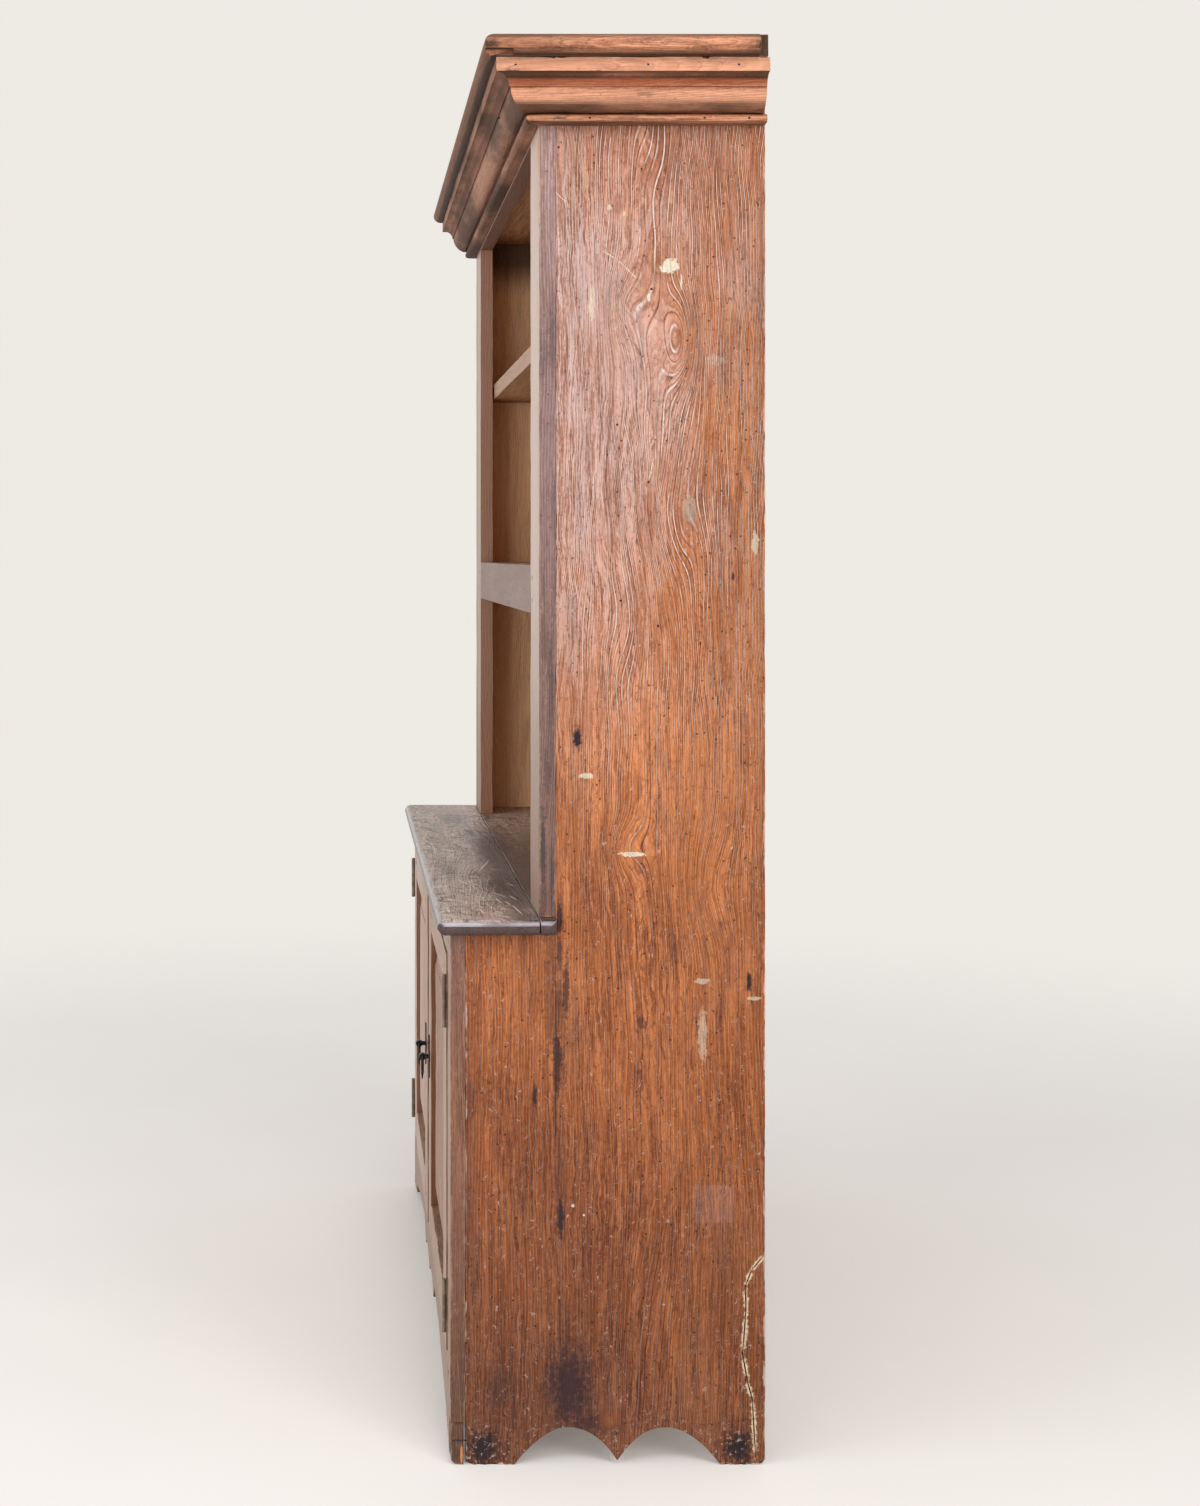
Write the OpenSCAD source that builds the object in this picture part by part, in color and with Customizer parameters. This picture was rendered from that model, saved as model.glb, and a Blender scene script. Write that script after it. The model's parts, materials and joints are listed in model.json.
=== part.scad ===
// A step-back cupboard: a low cupboard with two panelled doors, and open shelves set back above its counter.
// X runs across the front, with the right side at +X. Y runs from the front to the back, and Z is up.
// The origin lies on the floor, in the middle of the box round the whole piece.

/* [Carcass] */
// Height from the floor to the top of the cornice
total_height = 2080; // [1880:10:2400]
// Width over the two side boards
body_width = 1330; // [1000:10:1800]
// Depth of the lower cupboard, from the front of its frame to the back
lower_depth = 462; // [430:2:560]
// Depth of the upper shelves, from the front of their frame to the back
upper_depth = 332; // [260:2:370]
// Thickness of the side boards
side_thick = 24; // [20:1:32]
// Thickness of the back boards
back_thick = 16; // [10:1:22]
// How far one back board laps over the next
back_lap = 10; // [6:1:16]
// How far the back boards reach into the side boards
back_rabbet = 12; // [8:1:14]
// Height of the lower ends of the back boards above the floor
back_foot = 90; // [60:5:110]
// Depth of the grooves that hold the boards between the sides
dado_depth = 8; // [5:1:10]

/* [Side feet] */
// Width of the front foot of a side board, measured from the front of the frame
side_front_foot = 94; // [60:2:110]
// Width of each of the two arches between the feet
side_arch_width = 151; // [120:1:152]
// Height of the arches
side_arch_height = 54; // [30:1:80]
// How high the point between the arches stays above the floor
side_tip_lift = 6; // [2:1:12]
// Radius of the worn lower corners at the front and the back of a side board
side_foot_round = 7; // [3:1:12]

/* [Counter] */
// Height of the counter's upper face
counter_top = 803; // [780:1:900]
// Thickness of the counter
counter_thick = 24; // [18:1:32]
// How far the counter reaches past the front of the frame
counter_front_reach = 20; // [12:1:40]
// How far the counter reaches past the side boards
counter_side_reach = 29; // [14:1:45]
// Radius of the counter's corners, seen from above
counter_corner = 12; // [6:1:12]

/* [Lower frame] */
// Thickness of the lower front frame
lower_frame_thick = 22; // [20:1:28]
// Width of the lower stiles
lower_stile = 75; // [60:1:110]
// Height of the rail under the counter
lower_rail = 44; // [36:1:70]
// Height of the apron's upper edge above the floor
apron_top = 135; // [120:1:160]
// Height of the apron's long arches
arch_top = 84; // [70:1:90]
// Height of the apron's edge where a long arch meets the foot
arch_foot = 37; // [30:1:50]
// Height of the bracket foot's end below the long arch
bracket_height = 22; // [14:1:28]
// Flat width of each front foot on the floor
foot_flat = 30; // [28:1:50]
// Radius of the front feet's worn lower edge
foot_round = 10; // [4:1:14]
// Height of the repair block under the outer corner of the right front stile
foot_block_height = 61; // [40:1:90]
// Width of that block
foot_block_width = 26; // [16:1:26]
// Gap between the block and the side board behind it
foot_block_gap = 2; // [0.5:0.5:3]
// Width of the bracket foot, from the side to the start of the long arch
bracket_width = 118; // [116:1:150]
// Distance between the apron's three pendants
pendant_pitch = 140; // [100:5:170]
// Height of the pendants' tips above the floor
pendant_tip = 55; // [45:1:60]
// Height of the small arches between the pendants
small_arch_top = 74; // [65:1:82]
// Distance from an outer pendant to the top of the long arch
long_arch_start = 45; // [30:1:60]

/* [Lower shelves] */
// Thickness of the cupboard's bottom board
bottom_thick = 22; // [16:1:28]
// Height of the inner shelf's upper face
inner_shelf_top = 455; // [350:5:550]
// Thickness of the inner shelf
inner_shelf_thick = 20; // [16:1:28]
// How far the inner shelf stays behind the lower frame
inner_shelf_set = 60; // [30:5:120]

/* [Upper frame] */
// Thickness of the upper front frame
upper_frame_thick = 25; // [20:1:30]
// Width of the upper stiles
upper_stile = 130; // [80:1:160]
// How far the upper face of the rail between the open compartments lies above the counter
mid_rail_rise = 516; // [450:1:600]
// Height of that rail from edge to edge
mid_rail_height = 74; // [50:1:110]
// Height of the head rail, which ends under the top board
head_rail_height = 88; // [86:1:140]

/* [Upper shelves] */
// Thickness of the middle shelf
middle_shelf_thick = 24; // [18:1:30]
// How far the upper shelf's upper face lies under the top board
upper_shelf_drop = 363; // [300:1:460]
// Thickness of the upper shelf
upper_shelf_thick = 30; // [20:1:36]
// How far the upper shelf stays behind the upper frame
upper_shelf_set = 3; // [0:1:20]
// How far the ceiling board's lower face lies under the top board
ceiling_drop = 60; // [40:1:86]
// Thickness of the ceiling board
ceiling_thick = 20; // [16:1:26]

/* [Cornice] */
// Thickness of the top board
top_thick = 32; // [24:1:40]
// How far the top board reaches past the crown moulding
top_lip = 18; // [8:1:40]
// How far the top board's back edge stays in front of the back
top_back_set = 23; // [18:1:40]
// Thickness of the batten behind the top board
batten_thick = 13; // [8:1:16]
// How far the crown moulding's upper band reaches out
crown_reach = 68; // [62:1:72]
// Height of that band
crown_band = 20; // [12:1:20]
// Width of the small lip between the band and the hollow
crown_lip = 2; // [1:1:4]
// Radius of the hollow under the band
cove_radius = 18; // [12:1:18]
// How far the round part under the hollow reaches out at its top
ovolo_reach = 46; // [34:1:46]
// How far the round part reaches out at its foot
ovolo_foot = 25; // [23:1:30]
// Height of the round part
ovolo_height = 32; // [24:1:34]
// How far the round part bulges past a straight slope
ovolo_bulge = 5; // [2:1:6]
// How far the bead under the crown reaches out
bead_reach = 22; // [16:1:24]
// Height of the bead
bead_height = 15; // [10:1:16]
// How far the crown's side pieces stop in front of the back
crown_back_set = 7; // [2:1:15]

/* [Doors] */
// Gap between a door and what is beside it
door_gap = 3; // [2.6:0.2:5]
// Thickness of the doors
door_thick = 27; // [26:1:32]
// How far the left door stands in front of the frame
left_door_proud = 3.2; // [0:0.2:5]
// How far the right door stands in front of the frame
right_door_proud = 1.6; // [0:0.2:5]
// Width of the stiles on the hinge side
hinge_stile = 88; // [70:1:110]
// Width of the stiles where the doors meet
meeting_stile = 95; // [80:1:110]
// Height of the doors' upper rails
door_top_rail = 57; // [50:1:80]
// Height of the doors' lower rails
door_bottom_rail = 62; // [50:1:90]
// Distance from a door's face to the groove that holds the panel
groove_set = 15; // [12:0.5:16]
// Width of the groove
groove_width = 7.5; // [6:0.5:8]
// Depth of the groove
groove_depth = 10; // [8:1:14]
// Distance from a door's face to the raised part of the panel
field_set = 5.5; // [3:0.5:8]
// Width of the panel's bevels
bevel_width = 45; // [25:1:60]
// Height of the small step round the raised part
field_step = 1.5; // [0.5:0.5:3]

/* [Door hinges] */
// Length of each hinge
hinge_length = 80; // [60:1:100]
// Distance from a door's upper or lower end to the hinge near it
hinge_inset = 28; // [20:1:60]
// Radius of the hinge's barrel
hinge_barrel = 3; // [2.6:0.1:4]
// Radius of the hinge's pin
hinge_pin = 1.4; // [1.2:0.1:1.6]
// Thickness of a hinge leaf
leaf_thick = 1.1; // [0.8:0.1:1.2]
// Depth of a hinge leaf behind the door's face
leaf_depth = 18; // [12:1:20]

/* [Pulls] */
// Height of the pulls' pivots above the floor
pull_height = 448; // [350:1:560]
// Length of a pull's back plate
pull_plate_length = 76; // [60:1:100]
// Thickness of the back plate
pull_plate_thick = 2; // [1.5:0.5:3]
// Radius of the back plate's round middle
pull_plate_round = 12; // [10:1:16]
// Half the width of the plate's two points where they are widest
pull_barb = 7; // [5:0.5:9]
// Distance from the plate's middle to where its points are widest
pull_barb_height = 27.4; // [20:0.2:29]
// Half the width of the plate between its middle and its points
pull_neck = 3.5; // [3:0.5:4.5]
// Distance from a door's face to the pull's pivot
pull_reach = 13; // [11:0.5:16]
// Radius of the eye that carries the pull
pull_eye = 6; // [5:0.5:7]
// Width of the eye
pull_eye_width = 9; // [8.5:0.5:12]
// Radius of the round stem behind the eye
pull_stem = 3.8; // [3.4:0.1:4]
// Radius of the pull's own pin, which turns in the eye
pull_pin = 2; // [1.6:0.1:2.5]
// Radius of the pull's bar
pull_bar = 2.4; // [2:0.1:3]
// Half the width of the pull, between the middles of its bars
pull_half = 9; // [8:0.5:12]
// Length of the pull from its pivot to the middle of its bow
pull_length = 26; // [20:1:40]
// Length of the pointed end under the bow
pull_point = 14; // [8:1:20]
// Radius of that end where it meets the bow
pull_point_top = 2.9; // [2.4:0.1:3.5]
// Radius of its blunt tip
pull_point_tip = 0.8; // [0.3:0.1:1.5]
// Radius of the shank that goes through the door
shank_radius = 3; // [2:0.5:3.3]
// Radius of the washer on the shank behind the door
shank_washer = 6; // [4.5:0.5:9]

/* [Joinery] */
// Thickness of the tenons in the two front frames
tenon_thick = 9; // [7:1:12]
// Length of all tenons
tenon_length = 48; // [30:1:55]
// How far a tenon stays inside the edges of its rail
tenon_shoulder = 8; // [5:1:12]
// Radius of the wooden pegs that lock the tenons
peg_radius = 4; // [3:0.5:5]
// Distance from a rail's edge to the pegs through its tenon
peg_inset = 20; // [14:1:24]
// How deep the pegs of the frames and the doors go in
peg_depth = 19; // [18:0.5:19.5]
// Play between pieces that are fitted together and don't move
fit_play = 0.2; // [0.1:0.05:0.4]
// Play between a turning pin and its bore, on the radius
turn_play = 0.05; // [0.02:0.01:0.1]
// Play between parts of a hinge along its pin
end_play = 0.3; // [0.2:0.1:0.6]
// Width of the blocks that stop the doors
stop_width = 70; // [40:5:120]
// Depth of the blocks that stop the doors
stop_depth = 20; // [12:1:30]
// How far the blocks reach down behind the doors
stop_overlap = 18; // [10:1:30]

/* [Hidden] */
$fn = 64;

LEFT = -1;
RIGHT = 1;
back_count = 5;
// The furthest that anything reaches in front of the lower frame
front_reach = max(counter_front_reach, max(left_door_proud, right_door_proud) + pull_reach + pull_eye);
half_width = body_width / 2;
back_y = (lower_depth + front_reach) / 2;
lower_front = back_y - lower_depth;
upper_front = back_y - upper_depth;
back_inside = back_y - back_thick;
side_front = lower_front + lower_frame_thick;
step_y = upper_front + upper_frame_thick;
counter_bottom = counter_top - counter_thick;
crown_top = total_height - top_thick;
top_reach = crown_reach + top_lip;
head_rail_bottom = crown_top - head_rail_height;
ceiling_bottom = crown_top - ceiling_drop;
upper_shelf_top = crown_top - upper_shelf_drop;
cove_z = crown_top - crown_band - cove_radius;
crown_bottom = cove_z - ovolo_height;
bead_bottom = crown_bottom - bead_height;
inner_half = half_width - side_thick;
board_half = inner_half + dado_depth;
mid_rail_top = counter_top + mid_rail_rise;
mid_rail_bottom = mid_rail_top - mid_rail_height;
opening_top = counter_bottom - lower_rail;
lower_open_half = half_width - lower_stile;
upper_open_half = half_width - upper_stile;
door_bottom = apron_top + door_gap;
door_top = opening_top - door_gap;
door_meet_x = door_gap / 2;
door_hinge_x = lower_open_half - door_gap;
hinge_x = lower_open_half - door_gap / 2;
sight_left = door_meet_x + meeting_stile;
sight_right = door_hinge_x - hinge_stile;
sight_bottom = door_bottom + door_bottom_rail;
sight_top = door_top - door_top_rail;
pull_x = door_meet_x + meeting_stile / 2;
// Powers of the side arches' curve, where 2 is a parabola: towards a foot, and towards the middle point
arch_foot_power = 1.8;
arch_tip_power = 2.4;
arch_steps = 24;
// Straight pieces in a side board's worn corner
corner_steps = 5;
// Power that fills out the small arches between the pendants
small_arch_power = 0.7;
// Straight pieces in each stretch of the front's lower edge
small_steps = 12;
pendant_steps = 8;
long_steps = 20;
apron_tenon_bottom = 40;
// Play between the panels' edges and the bottoms of their grooves
panel_play = 1.5;
through = 1;

// A box from its lowest to its highest corner
module span(low, high) translate(low) cube(high - low);

// A shape made for the right side, or its mirror image on the left
module on_side(side) {
    if (side < 0) mirror([1, 0, 0]) children();
    else children();
}

// A flat shape drawn in Y and Z, as thick as the given width, from x0 to the right
module slab_x(x0, width) translate([x0, 0, 0]) rotate([90, 0, 90]) linear_extrude(width) children();

// A flat shape drawn in X and Z, as thick as the given depth, from y0 to the back
module slab_y(y0, depth) translate([0, y0 + depth, 0]) rotate([90, 0, 0]) linear_extrude(depth) children();

function door_front(side) = lower_front - (side < 0 ? left_door_proud : right_door_proud);

// Height of a side arch at t, from -1 at its front end to 1 at its back end
function arch_height(t, to_foot) = to_foot
    ? side_arch_height * (1 - pow(abs(t), arch_foot_power))
    : side_tip_lift + (side_arch_height - side_tip_lift) * (1 - pow(abs(t), arch_tip_power));

// One arch of a side board's lower edge, whose foot is at its front if foot_end is -1, or its back if 1
function side_arch(start, foot_end) = [for (i = [0:arch_steps])
    let (t = 2 * i / arch_steps - 1)
    [start + side_arch_width * (t + 1) / 2, arch_height(t, t * foot_end > 0)]];

// A quarter circle of points round a middle, from the given angle on
function worn_corner(middle, angle) = [for (i = [0:corner_steps])
    let (a = angle + 90 * i / corner_steps) middle + side_foot_round * [cos(a), sin(a)]];

// The outline of a side board in Y and Z
module side_outline() {
    arch_start = lower_front + side_front_foot;
    polygon(concat(
        worn_corner([side_front + side_foot_round, side_foot_round], 180),
        side_arch(arch_start, -1),
        side_arch(arch_start + side_arch_width, 1),
        worn_corner([back_y - side_foot_round, side_foot_round], 270),
        [[back_y, crown_top], [step_y, crown_top],
         [step_y, counter_bottom], [side_front, counter_bottom]]));
}

// The groove in the right side board for a board that lies between the sides
module dado(front, back, low, high)
    span([inner_half - through, front - fit_play, low],
         [board_half + fit_play, back + fit_play, high + fit_play]);

module side_board(side) color([0.50, 0.26, 0.14]) on_side(side) difference() {
    slab_x(inner_half, side_thick) side_outline();
    span([inner_half - through, back_inside - fit_play, back_foot - fit_play],
         [inner_half + back_rabbet + fit_play, back_y + through, crown_top + through]);
    dado(side_front, back_inside, apron_top - bottom_thick, apron_top);
    dado(side_front + inner_shelf_set, back_inside, inner_shelf_top - inner_shelf_thick, inner_shelf_top);
    dado(step_y, back_inside, counter_bottom, counter_top);
    dado(step_y, back_inside, mid_rail_top - middle_shelf_thick, mid_rail_top);
    dado(step_y + upper_shelf_set, back_inside, upper_shelf_top - upper_shelf_thick, upper_shelf_top);
    dado(step_y, back_inside, ceiling_bottom, ceiling_bottom + ceiling_thick);
}

// The tenon at the right end of a rail, or with more play the mortise that takes it
module frame_tenon(end_x, front, thick, low, high, play = 0) {
    middle = front + thick / 2;
    span([end_x - through, middle - tenon_thick / 2 - play, low - play],
         [end_x + tenon_length + play, middle + tenon_thick / 2 + play, high + play]);
}

// The middles of the pegs at a rail's right end, as X and Z
function peg_places(end_x, low, high) = [for (z = [low, high]) [end_x + tenon_length / 2, z]];

lower_rail_pegs = [[lower_open_half + tenon_length / 2, opening_top + lower_rail / 2]];
apron_pegs = peg_places(lower_open_half, apron_tenon_bottom + peg_inset, apron_top - peg_inset);
mid_rail_pegs = peg_places(upper_open_half, mid_rail_bottom + peg_inset, mid_rail_top - peg_inset);
head_rail_pegs = peg_places(upper_open_half, head_rail_bottom + peg_inset, crown_top - peg_inset);

module pegs(places, front, play = 0)
    for (place = places)
        translate([place[0], front + peg_depth, place[1]]) rotate([90, 0, 0])
            cylinder(r = peg_radius + play, h = peg_depth + (play > 0 ? through : 0));

module both_sides() {
    children();
    mirror([1, 0, 0]) children();
}

module upper_stile_board(side) color([0.40, 0.25, 0.18]) on_side(side) difference() {
    span([upper_open_half, upper_front, counter_top], [half_width, step_y, crown_top]);
    frame_tenon(upper_open_half, upper_front, upper_frame_thick, mid_rail_bottom + tenon_shoulder,
        mid_rail_top - tenon_shoulder, fit_play);
    frame_tenon(upper_open_half, upper_front, upper_frame_thick, head_rail_bottom + tenon_shoulder,
        crown_top - tenon_shoulder, fit_play);
    pegs(mid_rail_pegs, upper_front, fit_play / 2);
    pegs(head_rail_pegs, upper_front, fit_play / 2);
}

module upper_rail(low, high, peg_list) color([0.42, 0.30, 0.24]) difference() {
    union() {
        span([-upper_open_half, upper_front, low], [upper_open_half, step_y, high]);
        both_sides() frame_tenon(upper_open_half, upper_front, upper_frame_thick, low + tenon_shoulder,
            high - tenon_shoulder);
    }
    both_sides() pegs(peg_list, upper_front, fit_play / 2);
}

module head_rail() upper_rail(head_rail_bottom, crown_top, head_rail_pegs);

module mid_rail() upper_rail(mid_rail_bottom, mid_rail_top, mid_rail_pegs);

// Height of the front's lower edge at a distance from the middle
apron_peak_x = pendant_pitch + long_arch_start;
apron_foot_x = half_width - bracket_width;
foot_x = half_width - foot_flat;
function long_arch(x) = arch_foot
    + (arch_top - arch_foot) * sin(90 * (apron_foot_x - x) / (apron_foot_x - apron_peak_x));
function bracket(x) = bracket_height * sqrt(max(0, (foot_x - x) / (foot_x - apron_foot_x)));
function small_arch(x) = pendant_tip
    + (small_arch_top - pendant_tip) * pow(sin(180 * x / pendant_pitch), small_arch_power);
function pendant_side(x) = pendant_tip
    + (arch_top - pendant_tip) * sin(90 * (x - pendant_pitch) / long_arch_start);

// Points of the right half of the front's lower edge, from the middle out
right_edge = concat(
    [for (i = [0:small_steps]) let (x = pendant_pitch * i / small_steps) [x, small_arch(x)]],
    [for (i = [1:pendant_steps]) let (x = pendant_pitch + long_arch_start * i / pendant_steps)
        [x, pendant_side(x)]],
    [for (i = [1:long_steps]) let (x = apron_peak_x + (apron_foot_x - apron_peak_x) * i / long_steps)
        [x, long_arch(x)]],
    [for (i = [0:small_steps]) let (x = apron_foot_x + (foot_x - apron_foot_x) * i / small_steps)
        [x, bracket(x)]]);
left_edge = [for (i = [len(right_edge) - 1:-1:1]) [-right_edge[i][0], right_edge[i][1]]];

module front_outline() polygon(concat(
    [[-half_width, 0]], left_edge, right_edge,
    [[half_width, 0], [half_width, apron_top], [-half_width, apron_top]]));

// Where a front foot has wood, seen from the side: it lacks its worn lower front edge
module foot_profile(depth, height) {
    translate([lower_front + foot_round, foot_round]) circle(foot_round);
    translate([lower_front + foot_round, 0]) square([depth - foot_round, foot_round]);
    translate([lower_front, foot_round]) square([depth, height - foot_round]);
}

// The corner of the right front stile that the repair block takes the place of
block_x = half_width - foot_block_width;

module lower_stile_board(side) color([0.42, 0.27, 0.19]) on_side(side) difference() {
    union() {
        span([lower_open_half, lower_front, apron_top], [half_width, side_front, counter_bottom]);
        intersection() {
            slab_y(lower_front, lower_frame_thick) front_outline();
            slab_x(lower_open_half, lower_stile) foot_profile(lower_frame_thick, apron_top);
        }
    }
    if (side == RIGHT)
        span([block_x, lower_front - through, -through],
             [half_width + through, side_front + through, foot_block_height]);
    frame_tenon(lower_open_half, lower_front, lower_frame_thick, opening_top + tenon_shoulder,
        counter_bottom - tenon_shoulder, fit_play);
    frame_tenon(lower_open_half, lower_front, lower_frame_thick, apron_tenon_bottom,
        apron_top - tenon_shoulder, fit_play);
    pegs(lower_rail_pegs, lower_front, fit_play / 2);
    pegs(apron_pegs, lower_front, fit_play / 2);
}

module foot_block_right() color([0.36, 0.24, 0.17])
    slab_x(block_x + fit_play, foot_block_width - fit_play)
        foot_profile(lower_frame_thick - foot_block_gap, foot_block_height);

module lower_rail_board() color([0.47, 0.34, 0.27]) difference() {
    union() {
        span([-lower_open_half, lower_front, opening_top], [lower_open_half, side_front, counter_bottom]);
        both_sides() frame_tenon(lower_open_half, lower_front, lower_frame_thick,
            opening_top + tenon_shoulder, counter_bottom - tenon_shoulder);
    }
    both_sides() pegs(lower_rail_pegs, lower_front, fit_play / 2);
}

module apron() color([0.48, 0.37, 0.30]) difference() {
    union() {
        intersection() {
            slab_y(lower_front, lower_frame_thick) front_outline();
            span([-lower_open_half, lower_front - through, -through],
                 [lower_open_half, side_front + through, apron_top + through]);
        }
        both_sides() frame_tenon(lower_open_half, lower_front, lower_frame_thick, apron_tenon_bottom,
            apron_top - tenon_shoulder);
    }
    both_sides() pegs(apron_pegs, lower_front, fit_play / 2);
}

module frame_pegs() color([0.45, 0.32, 0.22]) both_sides() {
    pegs(mid_rail_pegs, upper_front);
    pegs(head_rail_pegs, upper_front);
    pegs(lower_rail_pegs, lower_front);
    pegs(apron_pegs, lower_front);
}

// Boards between the sides

module between_sides(front, back, low, high) span([-board_half, front, low], [board_half, back, high]);

module bottom_board() color([0.36, 0.24, 0.17])
    between_sides(side_front, back_inside, apron_top - bottom_thick, apron_top);

module inner_shelf() color([0.36, 0.24, 0.17])
    between_sides(side_front + inner_shelf_set, back_inside, inner_shelf_top - inner_shelf_thick,
        inner_shelf_top);

module middle_shelf() color([0.40, 0.27, 0.18])
    between_sides(step_y, back_inside, mid_rail_top - middle_shelf_thick, mid_rail_top);

module upper_shelf() color([0.40, 0.27, 0.18])
    between_sides(step_y + upper_shelf_set, back_inside, upper_shelf_top - upper_shelf_thick,
        upper_shelf_top);

module ceiling_board() color([0.38, 0.25, 0.17])
    between_sides(step_y, back_inside, ceiling_bottom, ceiling_bottom + ceiling_thick);

// Back boards, each lapped over the next

back_half = inner_half + back_rabbet;
back_pitch = (2 * back_half - (back_count - 1) * fit_play) / back_count;
function back_left(i) = -back_half + i * (back_pitch + fit_play);

module back_board(i) {
    left = back_left(i);
    right = left + back_pitch;
    half = back_inside + back_thick / 2;
    first_lap = i > 0 ? back_lap : 0;
    last_lap = i < back_count - 1 ? back_lap : 0;
    color([0.37, 0.25, 0.17]) translate([0, 0, back_foot]) linear_extrude(crown_top - back_foot) polygon([
        [left, back_inside], [right, back_inside], [right, half - fit_play / 2],
        [right - last_lap, half - fit_play / 2], [right - last_lap, back_y],
        [left - first_lap + fit_play, back_y], [left - first_lap + fit_play, half + fit_play / 2],
        [left, half + fit_play / 2]]);
}

// Counter and top board, with round edges

// A board whose two ends are round, and its front edge as well if round_front is true
module round_board(half, front, back, low, thick, round_front) {
    r = thick / 2;
    intersection() {
        slab_x(-half, 2 * half) {
            if (round_front) translate([front + r, low + r]) circle(r);
            translate([front + (round_front ? r : 0), low])
                square([back - front - (round_front ? r : 0), thick]);
        }
        slab_y(front, back - front) {
            for (side = [LEFT, RIGHT]) translate([side * (half - r), low + r]) circle(r);
            translate([r - half, low]) square([2 * (half - r), thick]);
        }
    }
}

// A rectangle seen from above, whose two corners at y = round_y are round
module round_plan(half, front, back, corner, at_front) {
    round_y = at_front ? front + corner : back - corner;
    translate([-half, at_front ? round_y : front]) square([2 * half, back - front - corner]);
    translate([corner - half, front]) square([2 * (half - corner), back - front]);
    for (side = [LEFT, RIGHT]) translate([side * (half - corner), round_y]) circle(corner);
}

counter_half = half_width + counter_side_reach;
counter_front = lower_front - counter_front_reach;

module counter_front_board() color([0.36, 0.29, 0.25]) intersection() {
    round_board(counter_half, counter_front, upper_front, counter_bottom, counter_thick, true);
    translate([0, 0, counter_bottom - through]) linear_extrude(counter_thick + 2 * through)
        round_plan(counter_half, counter_front, upper_front, counter_corner, true);
}

module counter_back_board() color([0.36, 0.29, 0.25]) {
    intersection() {
        round_board(counter_half, upper_front, step_y, counter_bottom, counter_thick, false);
        translate([0, 0, counter_bottom - through]) linear_extrude(counter_thick + 2 * through)
            round_plan(counter_half, upper_front, step_y, counter_corner, false);
    }
    between_sides(step_y - through, back_inside, counter_bottom, counter_top);
}

top_back = back_y - top_back_set;

module top_board() color([0.44, 0.28, 0.17])
    round_board(half_width + top_reach, upper_front - top_reach, top_back, crown_top, top_thick, true);

module rear_batten() color([0.22, 0.16, 0.13])
    span([-half_width - top_reach + top_thick / 2, top_back, crown_top],
         [half_width + top_reach - top_thick / 2, top_back + batten_thick, total_height]);

// Cornice mouldings, drawn with X outwards and Y up

module crown_profile() {
    chord = [ovolo_reach - ovolo_foot, ovolo_height];
    arc_radius = (chord * chord) / (8 * ovolo_bulge) + ovolo_bulge / 2;
    outwards = [ovolo_height, ovolo_foot - ovolo_reach] / norm(chord);
    arc_middle = [(ovolo_reach + ovolo_foot) / 2, crown_bottom + ovolo_height / 2]
        - outwards * (arc_radius - ovolo_bulge);
    difference() {
        translate([0, cove_z]) square([crown_reach, crown_top - cove_z]);
        translate([crown_reach - crown_lip, cove_z]) circle(cove_radius);
    }
    intersection() {
        translate([0, crown_bottom]) square([ovolo_reach, ovolo_height]);
        translate(arc_middle) circle(arc_radius);
    }
}

module bead_profile() {
    r = bead_height / 2;
    translate([0, bead_bottom]) square([bead_reach - r, bead_height]);
    translate([bead_reach - r, bead_bottom + r]) circle(r);
}

// The front length of a moulding, mitred at both ends
module front_moulding(reach, low, high) intersection() {
    slab_x(-half_width - reach, body_width + 2 * reach) translate([upper_front, 0]) mirror([1, 0]) children();
    translate([0, 0, low - through]) linear_extrude(high - low + 2 * through) polygon([
        [-half_width, upper_front], [half_width, upper_front],
        [half_width + reach, upper_front - reach], [-half_width - reach, upper_front - reach]]);
}

// The length of a moulding along a side, mitred at its front end
module side_moulding(side, reach, low, high, end_y) on_side(side) intersection() {
    slab_y(upper_front - reach, end_y - upper_front + reach) translate([half_width, 0]) children();
    translate([0, 0, low - through]) linear_extrude(high - low + 2 * through) polygon([
        [half_width, upper_front], [half_width + reach, upper_front - reach],
        [half_width + reach, end_y], [half_width, end_y]]);
}

crown_end = back_y - crown_back_set;

module crown_front() color([0.44, 0.30, 0.22])
    front_moulding(crown_reach, crown_bottom, crown_top) crown_profile();

module crown_side(side) color([0.55, 0.28, 0.17])
    side_moulding(side, crown_reach, crown_bottom, crown_top, crown_end) crown_profile();

module bead_front() color([0.42, 0.28, 0.20])
    front_moulding(bead_reach, bead_bottom, crown_bottom) bead_profile();

module bead_side(side) color([0.52, 0.26, 0.16])
    side_moulding(side, bead_reach, bead_bottom, crown_bottom, back_y) bead_profile();

// Doors, drawn for the right side

// The tenon on a door rail that reaches from end_x in one direction, or with play its mortise
module door_tenon(side, end_x, direction, low, high, play = 0) {
    y = door_front(side) + groove_set;
    far_x = end_x + direction * (tenon_length + play);
    near_x = end_x - direction * through;
    span([min(near_x, far_x), y - play, low - play],
         [max(near_x, far_x), y + groove_width + play, high + play]);
}

bottom_tenon = [door_bottom + tenon_shoulder, sight_bottom - groove_depth];
top_tenon = [sight_top + groove_depth, door_top - tenon_shoulder];
function middle_of(range) = (range[0] + range[1]) / 2;

module door_mortises(side, end_x, direction) {
    door_tenon(side, end_x, direction, bottom_tenon[0], bottom_tenon[1], fit_play);
    door_tenon(side, end_x, direction, top_tenon[0], top_tenon[1], fit_play);
}

door_peg_places = [for (x = [sight_left - tenon_length / 2, sight_right + tenon_length / 2])
    for (z = [middle_of(bottom_tenon), middle_of(top_tenon)]) [x, z]];

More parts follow.
